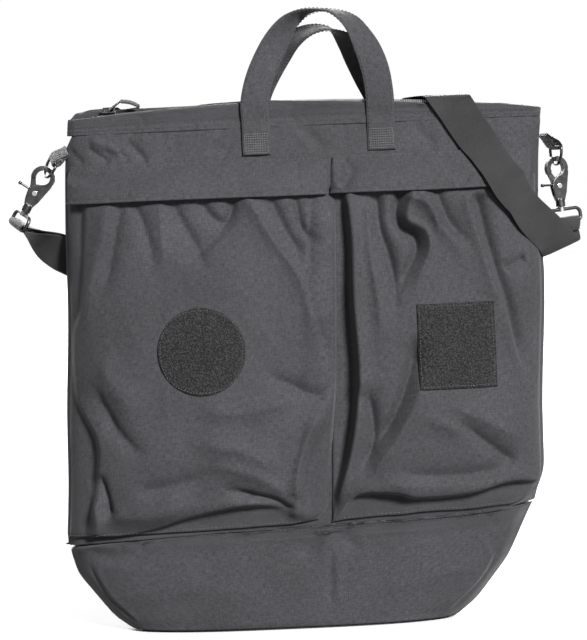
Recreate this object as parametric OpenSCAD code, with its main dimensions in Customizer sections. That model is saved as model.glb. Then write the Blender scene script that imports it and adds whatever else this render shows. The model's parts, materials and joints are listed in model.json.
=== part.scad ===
// Helmet bag: a soft upright flight bag with two flapped bellows pockets, two carry
// handles, a zipped mouth and a clip-on shoulder strap. Millimetres, +Z up, the front
// faces -Y, and the resting face of the base lies at Z = 0.

/* [Body] */
// Half of the depth of the body at its fullest level
half_depth = 43; // [36:1:46]
// Wall of the shell fabric
wall = 2; // [1.5:0.1:2.2]
// Half of the gap of the mouth at its middle
mouth_half = 14; // [13:0.5:16]

/* [Pockets] */
// How far the pockets bulge from the front panel
pocket_bulge = 22; // [18:1:24]
// Height of the flaps that cover both pocket mouths
flap_h = 38; // [34:1:40]
// Diameter of the round loop patch
round_d = 87; // [70:1:90]
// Width and height of the square loop patch
square_size = [77, 85]; // [60:1:90]

/* [Webbing] */
// Width of the shoulder strap
strap_w = 38; // [36:1:38]
// Thickness of the shoulder strap
strap_t = 1.8; // [1.5:0.1:1.9]
// Width of the handle fabric
handle_w = 28; // [26:1:30]
// Thickness of the handle fabric
handle_t = 2.6; // [2:0.1:2.8]

/* [Hardware] */
// Radius of the wire of the side rings
ring_r = 1.5; // [1.4:0.1:1.6]
// Depth of the side rings, bar to bow
ring_depth = 18; // [17:0.5:19]
// Inner radius of the hook's jaw
jaw_in = 7.2; // [7:0.1:7.5]
// Outer radius of the hook's jaw
jaw_out = 12.3; // [12:0.1:12.6]
// Thickness of the cast hook frame
hook_t = 6.4; // [6:0.1:7]
// Outer width of the hook's strap loop
loop_w = 47; // [46.5:0.1:48]

/* [Hidden] */
$fn = 48;
gap = 0.3;

// ---- the body's form: a lens-shaped section whose size changes with height ----
centre_of = [[0, -16], [60, -15], [100, -11], [140, 1.5], [220, 2.5], [320, 9],
             [405, 10], [474, 13], [530, 19]];
half_width_of = [[0, 160], [12, 178], [60, 215], [100, 229.5], [140, 237], [220, 236.5],
                 [530, 236.5]];
depth_of = [[0, 0.93], [60, 1], [100, 1], [180, 0.97], [300, 0.9], [360, 0.82],
            [430, 0.68], [470, 0.55]];

seam_z = 104;                // height of the base seam on the axis
seam_rise = 0.04;            // rise of that seam towards the right
panel_top = 503;             // where the panels meet the hem
floor_t = 2;
lining_t = 2;
hem_t = 2.8;
flap_top = 472;
flap_t = 2.2;
pocket_t = 1.4;
pocket_top = 446;
centre_seam = [[105, 23], [278, 30], [475, 38]];

function centre_x(z) = lookup(z, centre_of);
function half_width(z) = lookup(z, half_width_of);
function mix(a, b, t) = a + (b - a) * t;
function depth(z) = z > 470
    ? mix(half_depth * lookup(470, depth_of), mouth_half, min(1, (z - 470) / 50))
    : half_depth * lookup(z, depth_of);
function lens(u) = sqrt(1 - pow(min(1, abs(u)), 3));
function x_at(u, z) = centre_x(z) + u * half_width(z);
function u_at(x, z) = max(-1, min(1, (x - centre_x(z)) / half_width(z)));
function skin(u, z) = depth(z) * lens(u) + 0.2;
// The rim's top: the back edge stands up behind the front one at the mouth's left end.
function rim_z(x, side = -1) = 530 - 13 * pow((x - 10) / 230, 2) - 0.012 * x
    + (side > 0 && x < -60 ? 9 * pow((x + 60) / 160, 2) : 0);
function base_seam_z(x) = seam_z + seam_rise * x;

// ---- helpers ----
function unit(v) = v / norm(v);
function steps(a, b, n) = [for (i = [0:n]) mix(a, b, i / n)];
// Samples of u from -k to k, closer together near the side seams.
function u_steps(n, k = 1) = [for (i = [0:n]) k * sin(mix(-90, 90, i / n))];

// A closed slab between two grids of points with the same rows and columns.
module slab(near, far) {
    rows = len(near);
    cols = len(near[0]);
    total = rows * cols;
    points = concat([for (r = near) each r], [for (r = far) each r]);
    function at(i, j) = i * cols + j;
    near_faces = [for (i = [0:rows - 2], j = [0:cols - 2])
        each [[at(i, j), at(i, j + 1), at(i + 1, j + 1)],
              [at(i, j), at(i + 1, j + 1), at(i + 1, j)]]];
    far_faces = [for (f = near_faces) [total + f[2], total + f[1], total + f[0]]];
    border = concat(
        [for (j = [0:cols - 1]) at(0, j)],
        [for (i = [1:rows - 1]) at(i, cols - 1)],
        [for (j = [cols - 2:-1:0]) at(rows - 1, j)],
        [for (i = [rows - 2:-1:1]) at(i, 0)]);
    n = len(border);
    rim_faces = [for (k = [0:n - 1])
        each [[border[k], total + border[k], total + border[(k + 1) % n]],
              [border[k], total + border[(k + 1) % n], border[(k + 1) % n]]]];
    polyhedron(points, concat(near_faces, far_faces, rim_faces), convexity = 10);
}

// A panel that follows the body on one side (-1 front, 1 back), from the offset "low"
// to "high" outside the body's own surface.
module body_sheet(side, us, zs, low, high, bottom_z, top_z) {
    function grid(off) = [for (k = zs) [for (u = us)
        let (z0 = bottom_z(x_at(u, bottom_z(0))), z1 = top_z(x_at(u, top_z(0))),
             z = mix(z0, z1, k))
        [x_at(u, z), side * (skin(u, z) + off), z]]];
    if (side < 0) slab(grid(high), grid(low));
    else slab(grid(low), grid(high));
}

// ---- ribbons and cords: swept along a list of [place, width direction] ----
function spline(a, b, c, d, t) = 0.5 * ((2 * b) + (c - a) * t
    + (2 * a - 5 * b + 4 * c - d) * t * t + (3 * b - a - 3 * c + d) * t * t * t);
function smooth(list, k) = let (n = len(list)) concat(
    [for (i = [0:n - 2], j = [0:k - 1])
        let (a = list[max(0, i - 1)], b = list[i], c = list[i + 1],
             d = list[min(n - 1, i + 2)], t = j / k)
        [spline(a[0], b[0], c[0], d[0], t), mix(b[1], c[1], t), mix(b[2], c[2], t)]],
    [list[n - 1]]);
// Places on a route: plain ones, whose cross line is square to the run, and those on
// a slanted fold, where the cross line is the fold itself.
function at(p, w) = [p, w, 0];
function fold(p, w) = [p, w, 1];

module ribbon(route, k, width, thick) {
    path = smooth(route, k);
    n = len(path);
    function along(i) = unit(path[min(n - 1, i + 1)][0] - path[max(0, i - 1)][0]);
    function across(i) = let (t = along(i), w = path[i][1])
        mix(unit(w - (w * t) * t), w, path[i][2]);
    function edge(side, off) = [for (i = [0:n - 1])
        let (w = across(i), m = unit(cross(along(i), w)))
        path[i][0] + side * width / 2 * w + off * thick / 2 * m];
    function pair(off) = let (a = edge(-1, off), b = edge(1, off))
        [for (i = [0:n - 1]) [a[i], b[i]]];
    slab(pair(-1), pair(1));
}

// Puts children in the frame whose X and Z axes point along x and z, at place o.
module frame_at(o, x, z) {
    zz = unit(z);
    xx = unit(x - (x * zz) * zz);
    yy = cross(zz, xx);
    multmatrix([[xx[0], yy[0], zz[0], o[0]], [xx[1], yy[1], zz[1], o[1]],
                [xx[2], yy[2], zz[2], o[2]], [0, 0, 0, 1]]) children();
}

// Puts a shape drawn in X and Z as a plate of that thickness about Y = 0.
module plate(t) { rotate([90, 0, 0]) linear_extrude(t, center = true) children(); }

// Part of a round wire bow in the XZ plane: from angle a, turning by "turn".
module bow(radius, wire, a, turn) {
    rotate([90, 0, 0]) rotate([0, 0, a]) rotate_extrude(angle = turn)
        translate([radius, 0]) circle(wire, $fn = 24);
}

// ---- shell ----
floor_u = 0.98;
function floor_outline(inset) = let (n = 20, us = u_steps(n, floor_u)) concat(
    [for (u = us) [x_at(u, 0) - sign(u) * inset, -(skin(u, 0) - inset)]],
    [for (k = [n:-1:0]) [x_at(us[k], 0) - sign(us[k]) * inset, skin(us[k], 0) - inset]]);

module base_floor() {
    color("#3f3f43") linear_extrude(floor_t) polygon(floor_outline(0));
}

module base_wall() {
    color("#3d3d41") for (side = [-1, 1])
        body_sheet(side, u_steps(22), steps(0, 1, 8), 0, wall, function(x) floor_t + gap,
                   function(x) base_seam_z(x));
}

module main_panel(side) {
    color("#414146") body_sheet(side, u_steps(22), steps(0, 1, 12), 0, wall,
        function(x) base_seam_z(x) + gap, function(x) panel_top);
}

module lining(side) {
    color("#35463a") body_sheet(side, u_steps(20, 0.93), steps(0, 1, 9),
        -lining_t - 1, -1, function(x) floor_t + 2, function(x) panel_top - 3);
}

module rim_hem(side) {
    color("#454549") body_sheet(side, u_steps(22), steps(0, 1, 2), 0, hem_t,
        function(x) panel_top + gap, function(x) rim_z(x, side));
}

// ---- zip ----
zip_u = 0.9;
tape_drop = 12;       // depth of the tape below the chain
tape_thick = 0.8;
tooth_pitch = 4;
chain_half = 1.6;     // half of the chain's height
slider_x = -181;      // where the slider is parked
meshed_y = 0.85;      // middle of each chain where the two are joined
parted_y = 2.6;       // and where they leave the slider
chain_slope = 0.22;

function chain_z(x) = rim_z(x) - 2;
// Distance of each chain from the mid plane: joined behind the slider, parting at it,
// then lying along the hem.
function chain_y(x) = min(skin(u_at(x, 520), 520) - 2.4,
    x < slider_x - 3 ? meshed_y
    : x < slider_x + 1.5 ? mix(meshed_y, parted_y, (x - slider_x + 3) / 4.5)
    : parted_y + chain_slope * (x - slider_x - 1.5));
zip_xs = let (a = x_at(-zip_u, 520), b = x_at(zip_u, 520),
              n = 2 * floor((b - a) / tooth_pitch)) steps(a, b, n);

// Each tape runs level beside its chain, clear of the slider, then down to the hem.
tape_bend = 5.4;
module zip_tape(side) {
    function rows(x) = let (z = chain_z(x), y = chain_y(x) + 0.9) [
        [skin(u_at(x, z - tape_drop), z - tape_drop) - 0.6 - tape_thick, z - tape_drop],
        [max(y + 0.3, tape_bend), z - 1],
        [y, z]];
    xs = [for (k = [0:6:len(zip_xs) - 1]) zip_xs[k]];
    function grid(off) = [for (r = [0:2]) [for (x = xs)
        [x, side * (rows(x)[r][0] + off), rows(x)[r][1]]]];
    color("#1f1f21") if (side < 0) slab(grid(tape_thick), grid(0));
    else slab(grid(0), grid(tape_thick));
}

// One comb of teeth, on the free edge of its tape.
module zip_teeth(side) {
    n = len(zip_xs) - 1;
    function row(z, inner) = [for (k = [0:n]) let (x = zip_xs[k])
        [x, side * (chain_y(x) + (inner ? (k % 2 == 0 ? -0.6 : -0.2) : 0.5)),
         chain_z(x) + z]];
    function grid(inner) = [row(-chain_half, inner), row(chain_half, inner)];
    color("#2a2a2c") if (side < 0) slab(grid(false), grid(true));
    else slab(grid(true), grid(false));
}

module zip_end_stops() {
    color("#77777b") for (s = [-1, 1]) {
        x = x_at(s * (zip_u + 0.012), 520);
        translate([x, 0, chain_z(x)]) cylinder(r = 1.9, h = 4.4, center = true);
    }
}

// The slider: two plates above and below the chain, joined by the wedge that parts it,
// with the bridge that holds the pull.
plate_size = [14, 9, 1.4];
plate_gap = 3;        // from the middle of the chain to each plate
bridge_gap = 3;
slider_top = plate_gap + plate_size[2];
module zip_slider() {
    color("#55555a") translate([slider_x, 0, chain_z(slider_x)]) {
        for (z = [-slider_top, plate_gap])
            translate([-plate_size[0] / 2, -plate_size[1] / 2, z]) cube(plate_size);
        translate([1.5, -1.2, -plate_gap - 0.1]) cube([4.5, 2.4, 2 * plate_gap + 0.2]);
        for (x = [-5, 5]) translate([x - 1.1, -1.2, slider_top - 0.1])
            cube([2.2, 2.4, bridge_gap + 0.2]);
        translate([-6.1, -1.2, slider_top + bridge_gap]) cube([12.2, 2.4, 1.6]);
    }
}

pull_at = [slider_x, 0, chain_z(slider_x) + slider_top + bridge_gap / 2];
pull_wire_r = 1;
pull_half = 4;
pull_long = 10;
module zip_pull_wire() {
    color("#6d6d72") translate(pull_at) frame_at([0, 0, 0], [0, 1, 0], [0.8, 0, 0.6]) {
        rotate([0, 90, 0]) cylinder(r = pull_wire_r, h = 2 * pull_half, center = true);
        for (s = [-1, 1]) translate([s * pull_half, 0, 0]) {
            cylinder(r = pull_wire_r, h = pull_long);
            sphere(r = pull_wire_r);
        }
        translate([0, 0, pull_long]) bow(pull_half, pull_wire_r, 0, 180);
    }
}

// A short braided cord, tied through the wire's bow.
module zip_pull_cord() {
    color("#222224") translate(pull_at) for (k = [0:4])
        translate([12.5 + 4.4 * k, 0, 8.6 - 0.35 * k * k]) sphere(r = 2.9, $fn = 32);
}

// ---- pockets ----
left_u = -0.985;
right_u = 0.985;
function split_x(z) = lookup(z, centre_seam);
function pocket_x(which, s, z) = which < 0
    ? mix(x_at(left_u, z), split_x(z) - 2, (s + 1) / 2)
    : mix(split_x(z) + 2, x_at(right_u, z), (s + 1) / 2);
bulge_of = [[100, 0], [108, 0.3], [118, 0.66], [140, 0.92], [200, 1], [300, 0.84],
            [400, 0.7], [446, 0.58]];
function bulge(s, z) = gap + pocket_bulge * lookup(z, bulge_of)
    * pow(1 - pow(abs(s), 5), 0.8);
function pocket_low(x) = base_seam_z(x) + 2;

module on_front(which, ss, zs, low, high, bottom_z, top_z) {
    function place(s, k, off) = let (
        xm = pocket_x(which, s, 275),
        z = mix(bottom_z(xm), top_z(xm), k), x = pocket_x(which, s, z))
        [x, -(skin(u_at(x, z), z) + wall + off(s, z)), z];
    function grid(off) = [for (k = zs) [for (s = ss) place(s, k, off)]];
    slab(grid(high), grid(low));
}

module pocket(which) {
    color("#46464b") on_front(which, u_steps(16), steps(0, 1, 14),
        function(s, z) bulge(s, z), function(s, z) bulge(s, z) + pocket_t,
        function(x) pocket_low(x), function(x) pocket_top);
}

strip_s = 0.8;
// How far the flap's inner face stands off the panel: shut at its seam, and clear of
// the pocket's mouth and the closure strips at its free edge.
flap_room = 4.2;
function flap_off(s, z) = gap + (bulge(s, pocket_top) + pocket_t + flap_room - gap)
    * min(1, (flap_top - z) / (flap_top - pocket_top));

// The strap lies over the end of the right flap and holds it down from here on.
pinned_s = 0.1;
flap_ss = u_steps(16);
module flap_between(which, a, b) {
    color("#48484d") on_front(which,
        concat([a], [for (s = flap_ss) if (s > a + 0.01 && s < b - 0.01) s], [b]),
        steps(0, 1, 4), function(s, z) flap_off(s, z),
        function(s, z) flap_off(s, z) + flap_t,
        function(x) flap_top - flap_h, function(x) flap_top);
}

module closure_strip(which, b, low, high) {
    color("#1c1c1d") on_front(which, steps(-strip_s, b, 12), [0, 1], low, high,
        function(x) pocket_top - 11, function(x) pocket_top - 1);
}

module pocket_loop_strip(which) {
    closure_strip(which, which < 0 ? strip_s : pinned_s - 0.05,
        function(s, z) bulge(s, z) + pocket_t + gap,
        function(s, z) bulge(s, z) + pocket_t + gap + 0.9);
}

module flap_hook_strip(which) {
    closure_strip(which, which < 0 ? strip_s : pinned_s - 0.05,
        function(s, z) flap_off(s, pocket_top) - 1.7,
        function(s, z) flap_off(s, pocket_top) - 0.8);
}

// ---- loop patches, sewn flat on the pockets and bending with them ----
patch_t = 1.6;
round_at = [-97, 284];
square_at = [156, 279];

function pocket_s(which, x, z) = let (a = pocket_x(which, -1, z),
    b = pocket_x(which, 1, z)) max(-1, min(1, 2 * (x - a) / (b - a) - 1));
function pocket_face(which, x, z) = skin(u_at(x, z), z) + wall
    + bulge(pocket_s(which, x, z), z) + pocket_t;

// A patch over the square -1..1 by -1..1, which "shape" turns into places in X and Z.
module patch(which, shape) {
    ts = steps(-1, 1, 12);
    function grid(off) = [for (v = ts) [for (u = ts) let (p = shape(u, v))
        [p[0], -(pocket_face(which, p[0], p[1]) + gap + off), p[1]]]];
    color("#232324") slab(grid(patch_t), grid(0));
}

module patch_round() {
    r = round_d / 2;
    patch(-1, function(u, v) [round_at[0] + r * u * sqrt(1 - v * v / 2),
                              round_at[1] + r * v * sqrt(1 - u * u / 2)]);
}

module patch_square() {
    patch(1, function(u, v) [square_at[0] + u * square_size[0] / 2,
                             square_at[1] + v * square_size[1] / 2]);
}

// ---- carry handles ----
tab_x = [-34, 91];       // middles of the sewn ends
tab_z = [476, 508];

module handle_tab(side, x) {
    us = steps(u_at(x - handle_w / 2, 500), u_at(x + handle_w / 2, 500), 2);
    function grid(off) = [for (z = [tab_z[0], 490, panel_top - 4, tab_z[1]]) [for (u = us)
        [x_at(u, 500), side * (skin(u, z) + (z > 498 ? hem_t : wall) + gap + off), z]]];
    if (side < 0) slab(grid(handle_t), grid(0));
    else slab(grid(0), grid(handle_t));
}

module handle_tabs(side) {
    color("#45454a") for (x = tab_x) handle_tab(side, x);
}

// One loop, from its left sewn end over the top to its right one. The front loop lies
// over the back one where they meet.
front_route = [
    at([-34, -20.5, 510.5], [1, 0, 0]), at([-34, -20.5, 530], [1, 0, 0]),
    at([-27, -18, 555], [0.96, 0.1, -0.3]), at([-13, -14, 583], [0.85, 0.35, -0.4]),
    at([3, -8, 605], [0.5, 0.75, -0.4]), at([24, -3, 617], [0.1, 0.97, -0.1]),
    at([46, -3, 617], [-0.05, 0.98, 0.15]), at([66, -8, 605], [0.35, 0.8, 0.5]),
    at([80, -14, 580], [0.8, 0.4, 0.35]), at([88, -18, 555], [0.97, 0.1, 0.2]),
    at([91, -20.5, 530], [1, 0, 0]), at([91, -20.5, 510.5], [1, 0, 0])];
back_route = [
    at([-34, 20.5, 510.5], [1, 0, 0]), at([-33, 20.5, 530], [1, 0, 0]),
    at([-24, 19, 552], [0.95, 0, -0.35]), at([-8, 17, 576], [0.8, -0.4, -0.5]),
    at([8, 13, 591], [0.5, -0.75, -0.45]), at([28, 8, 600], [0.1, -0.95, -0.35]),
    at([46, 8, 599], [0, -0.98, -0.1]), at([60, 13, 588], [0.4, -0.8, 0.4]),
    at([72, 17, 568], [0.8, -0.4, 0.4]), at([82, 19, 548], [0.95, 0, 0.25]),
    at([90, 20.5, 530], [1, 0, 0]), at([91, 20.5, 510.5], [1, 0, 0])];

module handle_loop(route) { color("#434348") ribbon(route, 3, handle_w, handle_t); }

// ---- side rings and their webbing tabs ----
ring_half = 14;
ring_bar_at = [[-239, 0, 479], [266.8, 0, 471.5]];
ring_bar = [[0.2, -0.88, -0.43], [0.3, -0.954, 0]];
ring_hang = [[-0.534, 0.27, -0.801], [0, 0, -1]];
tab_root = [[-226, 1, 489], [253.6, 0, 483]];
ring_tab_w = 22;
ring_tab_t = 1.7;

// A D-ring in its own frame: the bar along X, the bow hanging down.
module d_ring() {
    leg = ring_depth - ring_half;
    corner = 3;
    rotate([0, 90, 0]) cylinder(r = ring_r, h = 2 * (ring_half - corner), center = true);
    for (s = [-1, 1]) {
        translate([s * (ring_half - corner), 0, -corner])
            bow(corner, ring_r, s > 0 ? 0 : 90, 90);
        translate([s * ring_half, 0, -leg]) cylinder(r = ring_r, h = leg - corner);
    }
    translate([0, 0, -leg]) bow(ring_half, ring_r, 180, 180);
}

module side_ring(k) {
    color("#5b5b60") frame_at(ring_bar_at[k], ring_bar[k], -ring_hang[k]) d_ring();
}

// A webbing loop: wrapped round the ring's bar, and closed at the side seam.
module ring_tab(k) {
    reach = tab_root[k] - ring_bar_at[k];
    inner = ring_r + 0.35;
    long = norm(reach);
    color("#39393c") frame_at(ring_bar_at[k], ring_bar[k],
                              cross(ring_bar[k], reach)) rotate([0, 90, 0])
        translate([0, 0, -ring_tab_w / 2]) difference() {
            union() {
                cylinder(r = inner + ring_tab_t, h = ring_tab_w);
                translate([-inner - ring_tab_t + 1.2, 0, 0])
                    cube([2 * (inner + ring_tab_t) - 2.4, long, ring_tab_w]);
            }
            translate([0, 0, -1]) cylinder(r = inner, h = ring_tab_w + 2);
            translate([-0.35, 0, -1]) cube([0.7, long + 1, ring_tab_w + 2]);
        }
}

// ---- trigger hooks, drawn with the swivel's axis along +Z from the collar's foot ----
hook_at = [[-271, 5.2, 429], [269.8, 0, 410.8]];
hook_up = [[0.515, 0, 0.857], [-0.087, 0, 0.996]];
hook_side = [[0.857, 0, -0.515], [0.902, 0.42, 0.079]];
loop_side = [[0.386, -0.89, -0.232], [0.902, 0.42, 0.079]];
jaw_z = 39;
rivet_z = 21;
rivet_r = 1.5;
slot = 3;
loop_wire = 1.9;
loop_bar = -15;        // height of the bar that the strap wraps
loop_top = -2.9;
split_angle = 112;     // where the fixed jaw ends and the gate begins
gate_end = 205;

module in_hook_frame(k) { frame_at(hook_at[k], hook_side[k], hook_up[k]) children(); }

// A sector of the jaw, as an outline in X and Z.
module jaw_sector(a, b) {
    n = 20;
    polygon(concat(
        [for (i = [0:n]) let (t = mix(a, b, i / n))
            [0, jaw_z] + jaw_out * [cos(t), sin(t)]],
        [for (i = [n:-1:0]) let (t = mix(a, b, i / n))
            [0, jaw_z] + jaw_in * [cos(t), sin(t)]]));
}

module hook_frame(k) {
    color("#606066") in_hook_frame(k) difference() {
        union() {
            plate(hook_t) jaw_sector(-75, split_angle - 4);
            plate(hook_t) polygon([[-4.2, 6], [4.2, 6], [7.4, 14], [9.2, 22], [12, 34],
                [11.6, 36.5], [7.5, 35.8], [3.4, 31.9], [-1, 31.2], [-6, 27.5],
                [-8, 21], [-6.6, 13]]);
            cylinder(r = 4.8, h = 8);
        }
        // bore and head chamber of the swivel
        translate([0, 0, -1]) cylinder(r = 2.05, h = 5);
        translate([0, 0, 3]) cylinder(r = 3.4, h = 4);
        // slot of the gate, and the rivet's bore
        translate([-14, -slot / 2, 12]) cube([19, slot, 26]);
        translate([0, 0, rivet_z]) rotate([90, 0, 0])
            cylinder(r = rivet_r, h = 20, center = true);
    }
}

module hook_rivet(k) {
    color("#8a8a90") in_hook_frame(k) translate([0, 0, rivet_z]) rotate([90, 0, 0]) {
        cylinder(r = rivet_r - 0.03, h = hook_t + 0.1, center = true);
        for (s = [-1, 1]) translate([0, 0, s * (hook_t / 2 + 0.45)])
            cylinder(r = 2.6, h = 0.8, center = true);
    }
}

// The gate: an eye on the rivet, an arm in the slot, the jaw's left arc and a lever.
module hook_gate(k) {
    thin = slot - 0.5;
    color("#58585d") in_hook_frame(k) difference() {
        union() {
            translate([0, 0, rivet_z]) rotate([90, 0, 0])
                cylinder(r = 4, h = thin, center = true);
            plate(thin) polygon([[-4, 20], [0, 24.9], [-6.5, 35.4], [-8.6, 36.5],
                                 [-11.6, 35], [-8.6, 28], [-7, 22]]);
            plate(5) jaw_sector(split_angle, gate_end);
            translate([-3.2, 0, 22.5]) rotate([0, -86, 0]) cylinder(r = 1.25, h = 15);
            translate([-18.2, 0, 23.6]) sphere(r = 2);
        }
        translate([0, 0, rivet_z]) rotate([90, 0, 0])
            cylinder(r = rivet_r + 0.05, h = 20, center = true);
    }
}

// The spring that shuts the gate, coiled in the slot under the rivet.
module gate_spring(k) {
    color("#9a9aa0") in_hook_frame(k) translate([0.6, 0, 14.4]) rotate([90, 0, 0])
        rotate_extrude() translate([1.6, 0]) square([0.5, 2.2], center = true);
}

// The strap loop, with the headed post that turns in the collar.
module strap_loop(k) {
    half = loop_w / 2 - loop_wire;
    shoulder = 6;
    corner = 3;
    color("#56565b") frame_at(hook_at[k], loop_side[k], hook_up[k]) {
        for (z = [loop_top, loop_bar]) {
            r = z == loop_top ? shoulder : corner;
            translate([0, 0, z]) rotate([0, 90, 0])
                cylinder(r = loop_wire, h = 2 * (half - r), center = true);
        }
        for (s = [-1, 1]) {
            translate([s * (half - shoulder), 0, loop_top - shoulder])
                bow(shoulder, loop_wire, s > 0 ? 0 : 90, 90);
            translate([s * (half - corner), 0, loop_bar + corner])
                bow(corner, loop_wire, s > 0 ? 270 : 180, 90);
            translate([s * half, 0, loop_bar + corner])
                cylinder(r = loop_wire, h = loop_top - shoulder - loop_bar - corner);
        }
        translate([0, 0, -4.9]) cylinder(r = 4, h = 4.6);
        translate([0, 0, -2]) cylinder(r = 2, h = 6);
        translate([0, 0, 3.4]) cylinder(r = 3.1, h = 2);
    }
}

// ---- shoulder strap ----
// The adjuster's middle, the strap's run through it, and its offsets along and off it.
glide_at = [-95, 50.5, 319.5];
glide_run = unit([0.97, 0, -0.24]);
glide_w = [-0.24, 0, -0.97];
function glide(s, off) = glide_at + s * glide_run + [0, off, 0];
function bar_of(k) = hook_at[k] + loop_bar * unit(hook_up[k]);
wrap = 3.4;            // from a bar's middle to the middle of the webbing round it
lift = 3.8;            // how far the strap lies off the front
// The outermost face of the front at a place, the flap over the right pocket included.
function front_face(x, z) = z > panel_top ? skin(u_at(x, z), z) + hem_t
    : z > flap_top ? skin(u_at(x, z), z) + wall
    : z > flap_top - flap_h - 4 ? skin(u_at(x, z), z) + wall
        + flap_off(pocket_s(1, x, z), z) + flap_t
    : pocket_face(1, x, z);
// A place on the front where the strap lies, sloping by its own width direction.
function laid(x, z, w) = let (h = strap_w / 2, n = norm(w),
    a = front_face(x - h * w[0] / n, z - h * w[1] / n),
    b = front_face(x + h * w[0] / n, z + h * w[1] / n), c = front_face(x, z))
    at([x, -max(c, (a + b) / 2) - lift, z], [w[0], (a - b) / strap_w, w[1]]);
// Half a turn round a bar, from its "out" side over the side that faces "over".
function turn(middle, out, over, w) = [for (a = [0:30:180])
    at(middle + wrap * (cos(a) * out + sin(a) * over), w)];

bar_r = bar_of(1);
bar_l = bar_of(0);
right_out = unit(cross(hook_up[1], loop_side[1]));
left_w = -loop_side[0];
left_out = -unit(cross(hook_up[0], loop_side[0]));
front_w = [0.84, 0.54];
crease = [1, 0, 0.42];
rim_fold = [1.19, 0, 0];
strap_route = concat([
    // sewn end, round the right loop's bar
    at([271.3, -3.4, 384], [0.93, 0.36, 0]), at([270.5, -3.4, 390], [0.91, 0.4, 0.05])],
    turn(bar_r, -right_out, unit(hook_up[1]), loop_side[1]), [
    at([269.5, 3, 388], [0.93, 0.3, 0.03]), at([269.9, 2, 380], [1, 0.1, 0]),
    // the slanting fold, then up across the front
    fold([269.3, 1.2, 373], crease), fold([268.9, -0.6, 369.6], crease),
    fold([268.4, -3.6, 369.2], crease), fold([266.8, -5.8, 371.6], crease),
    at([253.5, -18, 387], [0.84, 0.24, 0.5]), at([239, -29, 402], [0.8, 0.34, 0.52]),
    laid(227, 419, front_w), laid(216, 436, front_w), laid(205, 453, front_w),
    laid(195, 469, front_w), laid(184.5, 485, front_w), laid(175, 500, front_w),
    laid(168, 512, front_w),
    // over the mouth
    fold([160, -18.8, 524.4], rim_fold), fold([157, -14.4, 526.8], rim_fold),
    at([148, 0, 527.6], [0.84, 0.54, 0]), fold([139, 14.4, 526.8], rim_fold),
    fold([136, 19.9, 524], rim_fold), at([127, 22.5, 508], [0.83, 0, -0.56]),
    at([118, 26.6, 492], [0.83, 0, -0.56]),
    // down the back
    at([106, 34.5, 471], [0.82, 0, -0.57]), at([88, 42, 436], [0.8, 0, -0.6]),
    at([66, 47, 398], [0.74, 0, -0.67]), at([37, 50.5, 362], [0.62, 0, -0.78]),
    at([2, 52.5, 332], [0.4, 0, -0.92]), at([-35, 53, 316], [0.1, 0, -0.99]),
    at([-65, 52.5, 313.5], [-0.12, 0, -0.99]),
    // through the adjuster
    at(glide(17, 0.5), glide_w), at(glide(11, -2.9), glide_w), at(glide(6.6, 0), glide_w),
    at(glide(3.6, 4.4), glide_w), at(glide(0, 5.4), glide_w),
    at(glide(-3.6, 4.4), glide_w), at(glide(-6.8, 0), glide_w),
    at(glide(-11, -2.9), glide_w), at(glide(-18, -1.2), [-0.28, 0, -0.96]),
    // up to the left loop
    at([-132, 49.5, 331], [-0.34, 0, -0.94]), at([-162, 46.5, 343], [-0.42, 0, -0.91]),
    at([-192, 42, 359], [-0.47, 0.02, -0.88]), at([-219, 34, 375.5], [-0.5, 0.08, -0.86]),
    at([-237, 26, 386], [-0.53, 0.25, -0.8]), at([-251, 19.5, 396.5], [-0.52, 0.5, -0.5]),
    at([-262.5, 13.5, 408], [-0.46, 0.75, -0.05]), at([-271.3, 8.2, 416], left_w)],
    turn(bar_l, unit(hook_up[0]), left_out, left_w), [
    // and back to the adjuster's middle bar
    at([-273.5, 8.4, 411], left_w), at([-264.4, 12.4, 403.6], [-0.46, 0.75, -0.05]),
    at([-251, 16.3, 393], [-0.52, 0.5, -0.5]), at([-236, 21.8, 383.8], [-0.53, 0.25, -0.8]),
    at([-218, 29.4, 374], [-0.5, 0.08, -0.86]), at([-195, 36.5, 355.5], [-0.47, 0.02, -0.88]),
    at([-163, 41.5, 340.5], [-0.42, 0, -0.91]), at([-133, 43.8, 328.5], [-0.34, 0, -0.94]),
    at(glide(-18, -6.2), [-0.28, 0, -0.96]), at(glide(-10, -6.3), glide_w),
    at(glide(-4, -4.9), glide_w), at(glide(0.6, -2.9), glide_w),
    at(glide(2.9, 0), glide_w), at(glide(0, 2.9), glide_w), at(glide(-2.9, 0.4), glide_w)]);

module shoulder_strap() { color("#333335") ribbon(strap_route, 2, strap_w, strap_t); }

module strap_adjuster() {
    half_run = 12.5;
    half_w = strap_w / 2 + 3;
    bar = 1.5;
    color("#1a1a1b") frame_at(glide_at, glide_run, glide_w) {
        for (s = [-1, 1]) translate([0, 0, s * half_w])
            cube([2 * half_run, 3.4, 3.4], center = true);
        for (x = [-11, 0, 11]) translate([x, 0, 0])
            cylinder(r = bar, h = 2 * half_w, center = true, $fn = 24);
    }
}

base_floor();
base_wall();
main_panel(-1);  // front_panel
main_panel(1);  // back_panel
lining(-1);  // lining_front
lining(1);  // lining_back
rim_hem(-1);  // rim_hem_front
rim_hem(1);  // rim_hem_back
zip_tape(-1);  // zip_tape_front
zip_tape(1);  // zip_tape_back
zip_teeth(-1);  // zip_teeth_front
zip_teeth(1);  // zip_teeth_back
zip_end_stops();
zip_slider();
zip_pull_wire();
zip_pull_cord();
pocket(-1);  // pocket_left
pocket(1);  // pocket_right
pocket_loop_strip(-1);  // pocket_loop_strip_left
pocket_loop_strip(1);  // pocket_loop_strip_right
flap_between(-1, -1, 1);  // flap_left
flap_between(1, -1, pinned_s);  // flap_right
flap_between(1, pinned_s + 0.005, 1);  // flap_right_end
flap_hook_strip(-1);  // flap_hook_strip_left
flap_hook_strip(1);  // flap_hook_strip_right
patch_round();
patch_square();
handle_tabs(-1);  // handle_front_tabs
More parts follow.
